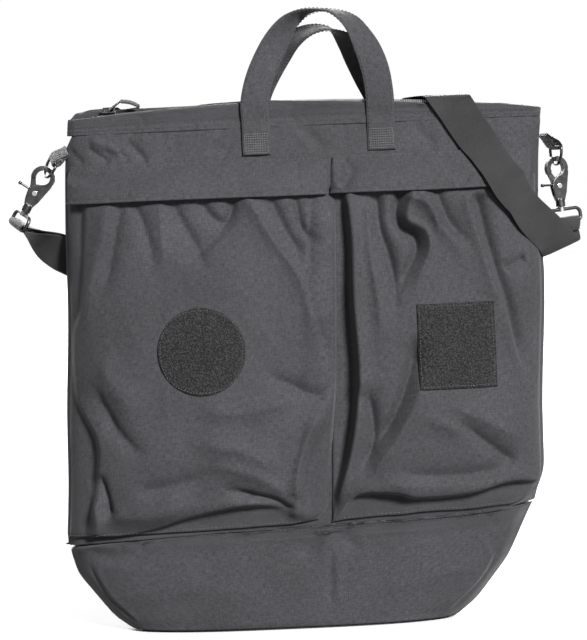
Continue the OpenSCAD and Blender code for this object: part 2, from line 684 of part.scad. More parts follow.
handle_tabs(1);  // handle_back_tabs
handle_loop(front_route);  // handle_front
handle_loop(back_route);  // handle_back
ring_tab(0);  // ring_tab_left
ring_tab(1);  // ring_tab_right
side_ring(0);  // ring_left
side_ring(1);  // ring_right
strap_loop(0);  // strap_loop_left
strap_loop(1);  // strap_loop_right
hook_frame(0);  // hook_frame_left
hook_frame(1);  // hook_frame_right
hook_rivet(0);  // hook_rivet_left
hook_rivet(1);  // hook_rivet_right
hook_gate(0);  // hook_gate_left
hook_gate(1);  // hook_gate_right
gate_spring(0);  // gate_spring_left
gate_spring(1);  // gate_spring_right
shoulder_strap();
strap_adjuster();
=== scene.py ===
import json
import math

import bpy
import numpy as np
from mathutils import Matrix, Vector
from mathutils.bvhtree import BVHTree


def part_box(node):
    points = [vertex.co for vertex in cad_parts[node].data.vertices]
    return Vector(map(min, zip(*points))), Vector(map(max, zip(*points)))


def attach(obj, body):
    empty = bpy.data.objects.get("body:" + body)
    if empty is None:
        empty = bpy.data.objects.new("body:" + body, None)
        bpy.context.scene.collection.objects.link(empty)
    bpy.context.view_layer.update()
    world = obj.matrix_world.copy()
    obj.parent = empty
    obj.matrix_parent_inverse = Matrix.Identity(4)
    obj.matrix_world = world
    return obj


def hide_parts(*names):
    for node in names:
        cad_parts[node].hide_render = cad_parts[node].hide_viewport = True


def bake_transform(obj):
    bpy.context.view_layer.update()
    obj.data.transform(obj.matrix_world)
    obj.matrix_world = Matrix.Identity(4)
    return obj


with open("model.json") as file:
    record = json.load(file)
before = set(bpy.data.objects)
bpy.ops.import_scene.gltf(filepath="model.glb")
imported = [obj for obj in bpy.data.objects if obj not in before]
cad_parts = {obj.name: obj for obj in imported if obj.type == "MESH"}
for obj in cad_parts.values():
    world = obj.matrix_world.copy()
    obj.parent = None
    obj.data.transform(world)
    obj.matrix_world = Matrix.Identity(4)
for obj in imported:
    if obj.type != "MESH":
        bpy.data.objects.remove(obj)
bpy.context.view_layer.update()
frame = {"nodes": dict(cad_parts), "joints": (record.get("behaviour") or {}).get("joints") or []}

# Metres, X right, front towards -Y, Z up, as in the CAD. "mm" turns millimetres into metres.
mm = 0.001
FRONT, BACK = -1, 1
X, Y, Z = 0, 1, 2


# Cloth thicknesses, and how the soft bag differs from its plain solids.
SHELL_THICK, POCKET_THICK, FLAP_THICK = 1.4 * mm, 0.9 * mm, 1.7 * mm
HEM_THICK, LINING_THICK, TAPE_THICK = 2.4 * mm, 1.2 * mm, 0.7 * mm
SIDE_ROUND = 14 * mm            # how far from a side seam a panel turns back to it
SOFT_SPREAD = 0.02              # how much wider the soft bag stands
RIGHT_HOOK_Z = (0.34, 0.42)     # the level at which that stops, beside the right hook
LINING_WIDTH = 0.965            # the lining's share of the width
PANEL_CLEAR = 1.6 * mm          # the least that a pocket lies off the panel


# ---- reading the frame ----
def cad_mesh(*names):
    """Welded vertices and triangles of CAD nodes, taken together."""
    places, triangles, count = [], [], 0
    for name in names:
        mesh = frame["nodes"][name].data
        mesh.calc_loop_triangles()
        co = np.zeros(len(mesh.vertices) * 3)
        mesh.vertices.foreach_get("co", co)
        tri = np.zeros(len(mesh.loop_triangles) * 3, int)
        mesh.loop_triangles.foreach_get("vertices", tri)
        co, back = np.unique(np.round(co.reshape(-1, 3), 6), axis=0, return_inverse=True)
        places.append(co)
        triangles.append(back.reshape(-1)[tri.reshape(-1, 3)] + count)
        count += len(co)
    return np.vstack(places), np.vstack(triangles)


def edges_of(triangles):
    """Each edge of a mesh once, as pairs of vertex numbers."""
    edges = np.vstack([triangles[:, [0, 1]], triangles[:, [1, 2]], triangles[:, [2, 0]]])
    return np.unique(np.sort(edges, axis=1), axis=0)


def cut(co, edges, axis, value, want):
    """Lowest and highest "want" coordinate where a mesh crosses the plane axis = value."""
    a, b = co[edges[:, 0]], co[edges[:, 1]]
    low, high = a[:, axis] - value, b[:, axis] - value
    crosses = (low * high <= 0) & (low != high)
    a, b, low, high = a[crosses], b[crosses], low[crosses], high[crosses]
    places = a[:, want] + (low / (low - high)) * (b[:, want] - a[:, want])
    return places.min(), places.max()


def tree_of(co, faces):
    return BVHTree.FromPolygons([tuple(p) for p in co], [tuple(f) for f in faces])


def facing(tree, xs, zs, side):
    """The outermost y of a surface at each (x, z), looked at from its own side."""
    ys = np.full(xs.shape, np.nan)
    for at in np.ndindex(xs.shape):
        hit = tree.ray_cast(Vector((xs[at], side * 1.0, zs[at])), Vector((0, -side, 0)))[0]
        if hit is None:
            hit = tree.find_nearest(Vector((xs[at], side * 0.02, zs[at])))[0]
        ys[at] = hit.y
    return ys


def blur(values, rows, cols):
    """Gaussian smoothing of a grid that keeps its border's slope."""
    for axis, sigma in ((0, rows), (1, cols)):
        if sigma <= 0:
            continue
        reach = min(int(3 * sigma), values.shape[axis] - 1)
        weights = np.exp(-0.5 * (np.arange(-reach, reach + 1) / sigma) ** 2)
        weights /= weights.sum()
        pad = [(0, 0), (0, 0)]
        pad[axis] = (reach, reach)
        wide = np.pad(values, pad, mode="reflect", reflect_type="odd")
        values = np.apply_along_axis(lambda v: np.convolve(v, weights, "valid"), axis, wide)
    return values


# ---- small maths ----
def ramp(v, low=0.0, high=1.0):
    """0 below low, 1 above high, smooth between."""
    t = np.clip((v - low) / (high - low), 0, 1)
    return t * t * (3 - 2 * t)


def spline(points, per_step):
    """A Catmull-Rom curve through points."""
    points = np.asarray(points, float)
    padded = np.vstack([2 * points[0] - points[1], points, 2 * points[-1] - points[-2]])
    out = []
    for k in range(len(points) - 1):
        a, b, c, d = padded[k:k + 4]
        for t in np.arange(per_step) / per_step:
            out.append(0.5 * (2 * b + (c - a) * t + (2 * a - 5 * b + 4 * c - d) * t * t
                              + (3 * b - a - 3 * c + d) * t ** 3))
    return np.array(out + [points[-1]])


def noise(x, y, seed):
    """Smooth value noise from -1 to 1 with a lattice step of 1."""
    size = 64
    lattice = np.random.default_rng(seed).uniform(-1, 1, (size, size))
    x0, y0 = np.floor(x).astype(int), np.floor(y).astype(int)
    u, v = ramp(x - x0), ramp(y - y0)
    pick = lambda i, j: lattice[(x0 + i) % size, (y0 + j) % size]
    return ((pick(0, 0) * (1 - u) + pick(1, 0) * u) * (1 - v)
            + (pick(0, 1) * (1 - u) + pick(1, 1) * u) * v)


def crumple(x, z, size, seed, turn=0.0, stretch=1.0):
    """Soft creases about "size" apart, longer along "turn" (degrees from the X axis)."""
    c, s = math.cos(math.radians(turn)), math.sin(math.radians(turn))
    u, v = (x * c + z * s) / (size * stretch), (z * c - x * s) / size
    u, v = (u + 0.6 * noise(u * 0.7, v * 0.7, seed + 1),
            v + 0.6 * noise(v * 0.7, u * 0.7, seed + 2))
    wide = 1 - 2 * np.abs(noise(u, v, seed))
    return wide + 0.4 * noise(u * 2.3, v * 2.3, seed + 3)


# ---- cloth as grids of places ----
class Cloth:
    """A grid of places on one side of the bag: row 0 is its foot and column 0 its left."""

    def __init__(self, places, side):
        self.p, self.side = places, side

    def normals(self):
        across, up = np.gradient(self.p, axis=1), np.gradient(self.p, axis=0)
        n = -self.side * np.cross(across, up)
        return n / np.maximum(np.linalg.norm(n, axis=2, keepdims=True), 1e-12)

    def push(self, distance):
        """Moves each place out of the bag by a grid of distances."""
        self.p = self.p + self.normals() * np.asarray(distance)[..., None]
        return self

    def at(self, s, t):
        """The place at a share s of the width and t of the height."""
        rows, cols = self.p.shape[:2]
        i, j = np.clip(t, 0, 1) * (rows - 1), np.clip(s, 0, 1) * (cols - 1)
        i0, j0 = np.minimum(np.floor(i).astype(int), rows - 2), np.minimum(
            np.floor(j).astype(int), cols - 2)
        u, v = (i - i0)[..., None], (j - j0)[..., None]
        p = self.p
        return ((p[i0, j0] * (1 - v) + p[i0, j0 + 1] * v) * (1 - u)
                + (p[i0 + 1, j0] * (1 - v) + p[i0 + 1, j0 + 1] * v) * u)

    def share(self):
        """The grid's own (s, t)."""
        rows, cols = self.p.shape[:2]
        return np.meshgrid(np.linspace(0, 1, cols), np.linspace(0, 1, rows))

    def tree(self):
        rows, cols = self.p.shape[:2]
        return tree_of(self.p.reshape(-1, 3), grid_faces(rows, cols))


def grid_faces(rows, cols, start=0, flip=False):
    """The quads of a grid whose places are numbered row by row from "start"."""
    i, j = np.meshgrid(np.arange(rows - 1), np.arange(cols - 1), indexing="ij")
    a = start + i * cols + j
    quads = np.stack([a, a + 1, a + cols + 1, a + cols], axis=-1).reshape(-1, 4)
    return quads[:, ::-1] if flip else quads


def columns(count, crowd=0.5):
    """Shares from 0 to 1, crowded towards both ends by "crowd"."""
    even = np.linspace(0, 1, count)
    return (1 - crowd) * even + crowd * (0.5 - 0.5 * np.cos(np.pi * even))


def cloth_over(names, side, cols, rows, foot=0.5, head=0.5, smooth=(4, 5), crowd=0.5):
    """A cloth grid over the outer face of CAD nodes. Foot and head are the levels, as shares
    of the height, at which the width is taken for the lower and the upper edge line."""
    co, tri = cad_mesh(*names)
    edges = edges_of(tri)
    low, high = co[:, Z].min(), co[:, Z].max()
    inset = 0.3 * mm
    levels = np.linspace(low + inset, high - inset, 50)
    sides = np.array([cut(co, edges, Z, z, X) for z in levels])

    def edge_line(share, pick):
        x0, x1 = cut(co, edges, Z, low + share * (high - low), X)
        xs = np.linspace(x0 + inset, x1 - inset, 60)
        return xs, np.array([cut(co, edges, X, x, Z)[pick] for x in xs])

    foot_x, foot_z = edge_line(foot, 0)
    head_x, head_z = edge_line(head, 1)
    s, t = np.meshgrid(columns(cols, crowd), np.linspace(0, 1, rows))
    at_foot = np.interp(foot_x[0] + s * (foot_x[-1] - foot_x[0]), foot_x, foot_z)
    at_head = np.interp(head_x[0] + s * (head_x[-1] - head_x[0]), head_x, head_z)
    zs = at_foot + t * (at_head - at_foot)
    left, right = np.interp(zs, levels, sides[:, 0]), np.interp(zs, levels, sides[:, 1])
    left, right = blur(left, *smooth), blur(right, *smooth)
    xs = left + s * (right - left)
    edge = 0.4 * mm
    ys = facing(tree_of(co, tri), np.clip(xs, left + edge, right - edge),
                np.clip(zs, at_foot + edge, at_head - edge), side)
    # the soft bag stands a little wider than its solid, except beside the right hook
    spread = 1 + SOFT_SPREAD * np.where(xs > 0, 1 - ramp(zs, *RIGHT_HOOK_Z), 1)
    return Cloth(np.stack([xs * spread, blur(ys, *smooth), zs], axis=2), side)


def mesh_piece(name, places, faces, uv=None, shade_smooth=True):
    """A mesh object in the scene, with its uv given per vertex."""
    mesh = bpy.data.meshes.new(name)
    mesh.from_pydata([tuple(p) for p in places], [], [tuple(int(k) for k in f) for f in faces])
    if uv is not None:
        layer = mesh.uv_layers.new(name="cut")
        index = np.zeros(len(mesh.loops), int)
        mesh.loops.foreach_get("vertex_index", index)
        layer.data.foreach_set("uv", np.asarray(uv)[index].reshape(-1))
    mesh.polygons.foreach_set("use_smooth", [shade_smooth] * len(mesh.polygons))
    mesh.update()
    piece = bpy.data.objects.new(name, mesh)
    bpy.context.scene.collection.objects.link(piece)
    return piece


def flat_uv(p):
    """Lengths along and up a grid, in metres, as its uv."""
    rows, cols = p.shape[:2]
    mid_row, mid_col = p[rows // 2], p[:, cols // 2]
    u = np.r_[0, np.cumsum(np.linalg.norm(np.diff(mid_row, axis=0), axis=1))]
    v = np.r_[0, np.cumsum(np.linalg.norm(np.diff(mid_col, axis=0), axis=1))]
    return np.stack(np.meshgrid(u, v), axis=2).reshape(-1, 2)


def sheet_piece(name, outer, inner, flip=False):
    """A closed piece between two grids of the same size."""
    rows, cols = outer.shape[:2]
    total = rows * cols
    border = np.concatenate([np.arange(cols), np.arange(1, rows) * cols + cols - 1,
                             (rows - 1) * cols + np.arange(cols - 2, -1, -1),
                             np.arange(rows - 2, 0, -1) * cols])
    follow = np.roll(border, -1)
    rim = np.stack([follow, border, total + border, total + follow], axis=1)
    faces = np.vstack([grid_faces(rows, cols, 0, flip), grid_faces(rows, cols, total, not flip),
                       rim[:, ::-1] if flip else rim])
    uv = flat_uv(outer)
    return mesh_piece(name, np.vstack([outer.reshape(-1, 3), inner.reshape(-1, 3)]), faces,
                      np.vstack([uv, uv]))


def cloth_piece(name, cloth, thick):
    """The cloth's grid is its outer face; the inner face lies "thick" inside it."""
    inner = cloth.p - cloth.normals() * (thick if np.isscalar(thick) else thick[..., None])
    return sheet_piece(name, cloth.p, inner, flip=cloth.side > 0)


def crease(cloth, line, height, left, right, ends=(0.15, 0.15), fan=1.0):
    """Distances of one ridge, or valley where height is negative, along the smooth line
    through places (x, z). Left and right are its widths on both sides of the line's run,
    and they grow to "fan" times that at its end. All lengths are millimetres."""
    run = spline(np.array(line, float) * mm, 5)
    spot = cloth.p[..., [X, Z]]
    best = np.full(spot.shape[:2], 1e9)
    signed, along = np.zeros_like(best), np.zeros_like(best)
    for k in range(len(run) - 1):
        a, step = run[k], run[k + 1] - run[k]
        t = np.clip(((spot - a) @ step) / (step @ step), 0, 1)
        gap = spot - (a + t[..., None] * step)
        d = np.hypot(gap[..., 0], gap[..., 1])
        turn = step[0] * gap[..., 1] - step[1] * gap[..., 0]
        nearer = d < best
        best = np.where(nearer, d, best)
        signed = np.where(nearer, np.sign(turn), signed)
        along = np.where(nearer, (k + t) / (len(run) - 1), along)
    width = np.where(signed > 0, left, right) * mm * (1 + (fan - 1) * along)
    fade = ramp(along, 0, max(ends[0], 1e-3)) * ramp(1 - along, 0, max(ends[1], 1e-3))
    # a taut crest that runs out into long soft flanks
    crest = 0.12
    return height * mm * np.exp(
        1.35 * (math.sqrt(crest) - np.sqrt((best / width) ** 2 + crest))) * fade


# ---- materials ----
class Look:
    """A Principled material built from nodes."""

    def __init__(self, name, rough=0.6, metal=0.0, specular=0.5):
        self.material = bpy.data.materials.new(name)
        self.material.use_nodes = True
        self.nodes = self.material.node_tree.nodes
        self.links = self.material.node_tree.links
        self.shader = self.nodes["Principled BSDF"]
        self.shader.inputs["Roughness"].default_value = rough
        self.shader.inputs["Metallic"].default_value = metal
        self.shader.inputs["Specular IOR Level"].default_value = specular

    def node(self, kind, inputs=(), **settings):
        made = self.nodes.new("ShaderNode" + kind)
        for key, value in settings.items():
            setattr(made, key, value)
        for key, value in dict(inputs).items():
            if isinstance(value, bpy.types.NodeSocket):
                self.links.new(value, made.inputs[key])
            else:
                made.inputs[key].default_value = value
        return made

    def math(self, operation, a, b=0.0, c=0.0):
        return self.node("Math", {0: a, 1: b, 2: c}, operation=operation).outputs[0]

    def places(self):
        return self.node("TexCoord").outputs["Object"]

    def noise(self, per_metre, detail=2.0, rough=0.5, vector=None):
        vector = self.places() if vector is None else vector
        return self.node("TexNoise", {"Vector": vector, "Scale": per_metre, "Detail": detail,
                                      "Roughness": rough}).outputs["Fac"]

    def thread(self, pitch, angle=0.0):
        """Two crossing sine waves over the piece's cut, each "pitch" metres long."""
        cut_uv = self.node("TexCoord").outputs["UV"]
        turned = self.node("Mapping", {"Vector": cut_uv, "Rotation": (0, 0, angle)}).outputs[0]
        parts = self.node("SeparateXYZ", {0: turned}).outputs
        return [self.math("SINE", self.math("MULTIPLY", parts[k], 2 * math.pi / pitch))
                for k in (0, 1)]

    def streaks(self, across, along):
        """Noise drawn out over the piece's cut, with its own scale in each direction."""
        cut_uv = self.node("TexCoord").outputs["UV"]
        drawn = self.node("Mapping", {"Vector": cut_uv, "Scale": (across, along, 1)}).outputs[0]
        return self.noise(1.0, 2, 0.6, drawn)

    def between(self, value, low, high):
        """A value from 0 to 1, brought to the range low to high."""
        return self.node("MapRange", {"Value": value, "To Min": low,
                                      "To Max": high}).outputs[0]

    def ramp_between(self, fac, low, high, dark, light):
        """A colour from dark, where fac is low, to light, where it is high."""
        mix = self.node("ValToRGB", {"Fac": fac})
        mix.color_ramp.elements[0].position, mix.color_ramp.elements[1].position = low, high
        mix.color_ramp.elements[0].color = (*dark, 1)
        mix.color_ramp.elements[1].color = (*light, 1)
        return mix.outputs["Color"]

    def shade(self, colour, factor):
        """The colour times a factor that varies over the surface."""
        return self.node("VectorMath", {0: colour, "Scale": factor},
                         operation="SCALE").outputs[0]

    def bump(self, height, depth, strength=1.0, below=None):
        inputs = {"Height": height, "Distance": depth, "Strength": strength}
        if below is not None:
            inputs["Normal"] = below
        return self.node("Bump", inputs).outputs["Normal"]

    def finish(self, colour, normal=None, rough=None):
        self.links.new(colour, self.shader.inputs["Base Color"])
        if normal is not None:
            self.links.new(normal, self.shader.inputs["Normal"])
        if rough is not None:
            self.links.new(rough, self.shader.inputs["Roughness"])
        return self.material


def woven(name, dark, light, pitch=0.9 * mm, sheen=0.03, rough=0.68):
    """Plain-weave nylon: fine crossing threads, uneven yarns, and slow changes of shade."""
    look = Look(name, rough, specular=0.06)
    look.shader.inputs["Sheen Weight"].default_value = sheen
    look.shader.inputs["Sheen Roughness"].default_value = 0.45
    warp, weft = look.thread(pitch)
    weave = look.math("MULTIPLY", warp, weft)
    slow = look.noise(14, 3, 0.55)
    colour = look.ramp_between(slow, 0.3, 0.7, dark, light)
    yarns = look.math("ADD", look.streaks(170, 700), look.streaks(700, 170))
    spots = look.math("MULTIPLY_ADD", yarns, 1.3, -0.3)
    threads = look.math("MULTIPLY_ADD", weave, 0.1, 1.0)
    colour = look.shade(colour, look.math("MULTIPLY", spots, threads))
    rumple = look.bump(look.noise(85, 3, 0.55), 1.1 * mm, 0.5)
    grain = look.bump(look.noise(260, 3, 0.6), 0.35 * mm, 0.5, rumple)
    normal = look.bump(weave, 0.12 * mm, 0.6, grain)
    return look.finish(colour, normal, look.between(slow, rough - 0.06, rough + 0.08))


def ribbed(name, dark, light, rib=1.6 * mm, rough=0.58):
    """Webbing: ribs along its run with finer picks across them."""
    look = Look(name, rough, specular=0.1)
    look.shader.inputs["Sheen Weight"].default_value = 0.03
    look.shader.inputs["Sheen Roughness"].default_value = 0.4
    ribs, picks = look.thread(rib)
    fine = look.thread(rib * 0.55, math.radians(45))
    weave = look.math("ADD", look.math("MULTIPLY", ribs, 0.6),
                      look.math("MULTIPLY", fine[0], fine[1]))
    colour = look.ramp_between(look.noise(30, 2, 0.5), 0.3, 0.7, dark, light)
    shade = look.math("MULTIPLY_ADD", weave, 0.12, 1.0)
    normal = look.bump(weave, 0.22 * mm, 0.7)
    fuzz = look.bump(look.noise(700, 2, 0.6), 0.2 * mm, 0.4, normal)
    rough = look.between(picks, rough - 0.04, rough + 0.06)
    return look.finish(look.shade(colour, shade), fuzz, rough)


def pile(name, dark, light, cells=620):
    """Loop pile: a field of tiny loops, some standing higher; its colour is paler on the higher
    loops and darker down between them, which is painted shade.
    """
    look = Look(name, 0.85, specular=0.1)
    loops = look.node("TexVoronoi", {"Vector": look.places(), "Scale": cells,
                                     "Randomness": 1.0}).outputs["Distance"]
    tufts = look.noise(330, 3, 0.7)
    height = look.math("SUBTRACT", tufts, look.math("MULTIPLY", loops, 0.6))
    # painted shade: the colour runs from dark where the pile is low, between the loops, to pale
    # on the higher loops
    colour = look.ramp_between(height, 0.12, 0.5, dark, light)
    return look.finish(colour, look.bump(height, 1.1 * mm, 0.9), look.math("ADD", tufts, 0.35))


def metal(name, dark, light, rough=0.34, worn=(0.32, 0.31, 0.30)):
    """Plated cast metal: a dark finish with bright rubbed edges and a faint grain."""
    look = Look(name, rough, metal=1.0)
    tint = look.ramp_between(look.noise(120, 4, 0.6), 0.35, 0.7, dark, light)
    edge = look.node("NewGeometry").outputs["Pointiness"]
    scuff = look.math("ADD", edge, look.math("MULTIPLY", look.noise(500, 3, 0.7), 0.06))
    mask = look.node("MapRange", {"Value": scuff, "From Min": 0.555,
                                  "From Max": 0.63}).outputs[0]
    mix = look.node("Mix", {"Factor": mask}, data_type="RGBA")
    look.links.new(tint, mix.inputs[6])
    mix.inputs[7].default_value = (*worn, 1)
    smudge = look.between(look.noise(90, 4, 0.6), rough - 0.1, rough + 0.14)
    normal = look.bump(look.noise(1400, 2, 0.5), 0.04 * mm, 0.4)
    return look.finish(mix.outputs[2], normal, smudge)


def moulded(name, dark, light):
    """Moulded plastic with a fine grain."""
    look = Look(name, 0.46, specular=0.4)
    colour = look.ramp_between(look.noise(60, 3, 0.6), 0.3, 0.7, dark, light)
    grain = look.bump(look.noise(1500, 2, 0.6), 0.05 * mm, 0.5)
    return look.finish(colour, grain, look.between(look.noise(200, 3), 0.38, 0.56))


def twisted(name, dark, light, pitch=1.5 * mm):
    """Braided cord and sewing thread: slanting strands round the run."""
    look = Look(name, 0.6, specular=0.3)
    one, two = look.thread(pitch, math.radians(45))
    strands = look.math("MULTIPLY", one, two)
    colour = look.ramp_between(look.math("ADD", look.math("MULTIPLY", strands, 0.3), 0.5),
                               0.2, 0.8, dark, light)
    fuzz = look.bump(look.noise(900, 2, 0.6), 0.1 * mm, 0.5)
    return look.finish(colour, look.bump(strands, 0.3 * mm, 0.8, fuzz), look.noise(300, 2))


def grey(level, cool=0.0):
    """A linear grey, bluer by the share "cool"."""
    return (level * (1 + cool / 5), level, level * (1 + cool))


NYLON = woven("bag_nylon", grey(0.0086, 0.11), grey(0.0112, 0.11))
LINING = woven("sage_lining", (0.045, 0.062, 0.045), (0.062, 0.082, 0.060))
TAPE = woven("zip_tape_weave", grey(0.006), grey(0.009), pitch=0.7 * mm)
WEBBING = ribbed("strap_webbing", grey(0.0048, 0.05), grey(0.0065, 0.05))
TAB_WEBBING = ribbed("tab_webbing", grey(0.0058, 0.1), grey(0.0078, 0.1), rib=1.3 * mm)
# loop pile and hook strip: the dark end of each colour pair is painted shade down between the
# loops
PILE = pile("loop_pile", grey(0.001), grey(0.0105))
HOOKS = pile("hook_strip", grey(0.006), grey(0.018), cells=420)
GUNMETAL = metal("gunmetal", grey(0.018), grey(0.04), worn=(0.15, 0.148, 0.145))
STEEL = metal("spring_steel", grey(0.20), grey(0.30), rough=0.28, worn=(0.5, 0.5, 0.5))
TEETH = metal("zip_metal", grey(0.05), grey(0.09), rough=0.38)
PLASTIC = moulded("adjuster_plastic", grey(0.008), grey(0.013))
CORD = twisted("pull_cord", grey(0.012), grey(0.028))
THREAD = twisted("sewing_thread", grey(0.010), grey(0.022), pitch=0.6 * mm)
THREAD_PALE = twisted("tab_thread", grey(0.045), grey(0.075), pitch=0.6 * mm)


def dress(piece, look, slot, body, *nodes):
    """Gives a piece its look, and says what it stands for and rides on; the slot is not used."""
    piece.data.materials.clear()
    piece.data.materials.append(look)
    if nodes:
        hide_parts(*nodes)
    if body:
        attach(piece, body)
    return piece


def sewn_on(piece, *nodes):
    """A piece of the bag's own nylon that stands for CAD nodes."""
    return dress(piece, NYLON, "shell_nylon", "bag", *nodes)


# ---- sewing ----
def tube_faces(base, rows, ring):
    """Sides and ends of a tube whose places run ring by ring from number "base"."""
    faces = [[base + i * ring + k, base + i * ring + (k + 1) % ring,
              base + (i + 1) * ring + (k + 1) % ring, base + (i + 1) * ring + k]
             for i in range(rows - 1) for k in range(ring)]
    last = base + (rows - 1) * ring
    return faces + [[base + k for k in range(ring)][::-1], [last + k for k in range(ring)]]


def stitches(name, runs, body, look=THREAD, long=2.9 * mm, gap=1.3 * mm, thread=0.42 * mm):
    """Lockstitches, each a short bent thread half sunk in the cloth, along runs of
    (places, outward directions)."""
    ring, rows = 6, 5
    turn = np.linspace(0, 2 * np.pi, ring, endpoint=False)
    places, faces, uv = [], [], []
    for run, out in runs:
        length = np.r_[0, np.cumsum(np.linalg.norm(np.diff(run, axis=0), axis=1))]
        for start in np.arange(gap, length[-1] - long, long + gap):
            t = np.linspace(start, start + long, rows)
            mid = np.stack([np.interp(t, length, run[:, k]) for k in range(3)], axis=1)
            up = np.stack([np.interp(t, length, out[:, k]) for k in range(3)], axis=1)
            up /= np.linalg.norm(up, axis=1, keepdims=True)
            ahead = mid[-1] - mid[0]
            ahead /= np.linalg.norm(ahead)
            beside = np.cross(ahead, up)
            hump = np.sin(np.linspace(0.02, np.pi - 0.02, rows))
            mid = mid + up * ((hump - 0.45) * thread)[:, None]
            width = thread * (0.35 + 0.65 * hump)
            base = sum(len(p) for p in places)
            tube = (mid[:, None] + width[:, None, None] * (
                np.cos(turn)[None, :, None] * beside[:, None]
                + np.sin(turn)[None, :, None] * up[:, None]))
            places.append(tube.reshape(-1, 3))
            uv.append(np.stack(np.meshgrid(turn * thread, t), axis=2).reshape(-1, 2))
            faces += tube_faces(base, rows, ring)
    piece = mesh_piece(name, np.vstack(places), faces, np.vstack(uv))
    return dress(piece, look, "shell_nylon", body)


def sewn(cloth, shares, samples=240):
    """A run for "stitches" along a line of shares (s, t) on a cloth."""
    shares = np.array(shares, float)
    at = np.linspace(0, len(shares) - 1, samples)
    s = np.interp(at, range(len(shares)), shares[:, 0])
    t = np.interp(at, range(len(shares)), shares[:, 1])
    normals = Cloth(cloth.normals(), cloth.side)
    return cloth.at(s, t), normals.at(s, t)


# ---- the shell: panels, base and rim hem ----
def creases(cloth, rows, ridges=1.0, valleys=1.0):
    """The sum of several creases, with the ridges and valleys each made deeper."""
    return sum(crease(cloth, *row) * (valleys if row[1] < 0 else ridges) for row in rows)


def edges_held(cloth, s=0.04, foot=0.03, head=0.03):
    """1 in the middle of a cloth and 0 at its sewn edges."""
    u, v = cloth.share()
    return (ramp(u, 0, s) * ramp(1 - u, 0, s) * (ramp(v, 0, foot) if foot else 1)
            * (ramp(1 - v, 0, head) if head else 1))


def puckers(cloth, t, seed, height=0.5, pitch=7, reach=9):
    """Small gathers that run out from a seam at the share t of the height."""
    u, v = cloth.share()
    z = cloth.p[..., Z]
    seam = cloth.at(u, np.full_like(u, t))[..., Z]
    x = cloth.p[..., X] / (pitch * mm)
    fade = np.exp(-np.abs(z - seam) / (reach * mm))
    return height * mm * fade * noise(x, (z - seam) / (60 * mm), seed)


def tuck(cloth):
    """Runs a panel's ends on behind the base and the hem, so that no gap shows."""
    foot = 1 - ramp(cloth.share()[1], 0, 0.02)
    head = ramp(cloth.share()[1], 0.985, 1)
    cloth.p[..., Z] += 5 * mm * (head - foot)
    cloth.push(-1.1 * mm * np.maximum(foot, head))


def closed(cloth, reach):
    """Rounds a cloth's side ends back to the side seams, where y is 0."""
    x = cloth.p[..., X]
    gap = np.minimum(x - x[:, :1], x[:, -1:] - x)
    cloth.p[..., Y] *= np.sqrt(1 - (1 - np.clip(gap / reach, 0, 1)) ** 2)


front = cloth_over(["front_panel"], FRONT, 330, 240, 0.065, 0.95)
x, z = front.p[..., X], front.p[..., Z]
front.push(edges_held(front, 0.03, 0.02, 0.02) * (
    creases(front, [
        ([(-206, 491), (-192, 482), (-180, 473)], -3.2, 4, 4, (0.2, 0.2)),
        ([(-188, 487), (-181, 483), (-174, 478)], -2.0, 3, 3, (0.2, 0.2)),
        ([(-172, 486), (-167, 481), (-162, 476)], -2.0, 3, 3, (0.2, 0.2)),
        ([(-164, 497), (-154, 485), (-143, 473)], -3.6, 4, 5, (0.2, 0.2)),
        ([(-226, 492), (-214, 480), (-208, 472)], -2.6, 4, 5, (0.2, 0.2)),
        ([(-202, 500), (-186, 492), (-170, 484)], 2.2, 6, 5, (0.2, 0.2)),
        ([(-118, 502), (-116, 488), (-120, 474)], -1.0, 6, 7, (0.2, 0.3)),
        ([(-82, 492), (-70, 481), (-62, 474)], -1.3, 7, 8, (0.2, 0.3)),
        ([(-56, 502), (-60, 488), (-68, 476)], -1.1, 5, 7, (0.2, 0.3)),
        ([(12, 502), (24, 490), (38, 476)], -2.2, 5, 9, (0.1, 0.3)),
        ([(2, 502), (12, 488), (24, 475)], 1.4, 6, 5, (0.2, 0.3)),
        ([(128, 504), (134, 488), (150, 474)], -2.6, 7, 12, (0.1, 0.3)),
        ([(56, 502), (54, 488), (57, 474)], -0.9, 5, 6, (0.2, 0.3)),
    ])
    + 0.7 * mm * crumple(x, z, 0.034, 11, 70, 2.0)))
front.push(puckers(front, 0.985, 21, 0.5) + puckers(front, 0.925, 22, 0.35))
tuck(front)
closed(front, SIDE_ROUND)
sewn_on(cloth_piece("shell_front", front, SHELL_THICK), "front_panel")

back = cloth_over(["back_panel"], BACK, 190, 170, 0.065, 0.95)
x, z = back.p[..., X], back.p[..., Z]
back.push(edges_held(back, 0.05, 0.03, 0.03) * (
    creases(back, [
        ([(-190, 440), (-120, 380), (-70, 300), (-60, 220)], 2.6, 20, 12, (0.3, 0.3)),
        ([(-210, 330), (-150, 260), (-120, 180)], -2.4, 14, 18, (0.3, 0.3)),
        ([(60, 480), (70, 400), (110, 300), (130, 210)], 2.4, 16, 12, (0.3, 0.3)),
        ([(180, 450), (150, 380), (160, 280)], -2.6, 12, 20, (0.3, 0.3)),
        ([(-30, 470), (-20, 380), (10, 260), (0, 150)], -2.0, 18, 22, (0.3, 0.3)),
        ([(-200, 200), (-130, 150), (-60, 130)], 2.2, 12, 9, (0.3, 0.3)),
        ([(200, 220), (130, 160), (60, 140)], 2.2, 9, 12, (0.3, 0.3)),
        ([(-170, 495), (-150, 470), (-140, 430)], -1.6, 5, 8),
        ([(150, 495), (142, 470), (150, 430)], -1.5, 6, 8),
        ([(20, 498), (28, 470), (24, 440)], -1.2, 5, 7),
    ])
    + 1.3 * mm * crumple(x, z, 0.085, 31, 55, 1.8) + 0.5 * mm * crumple(x, z, 0.03, 35, 80, 2)))
back.push(puckers(back, 0.99, 41, 0.6) + puckers(back, 0.01, 42, 0.6))
tuck(back)
closed(back, SIDE_ROUND)
sewn_on(cloth_piece("shell_back", back, SHELL_THICK), "back_panel")

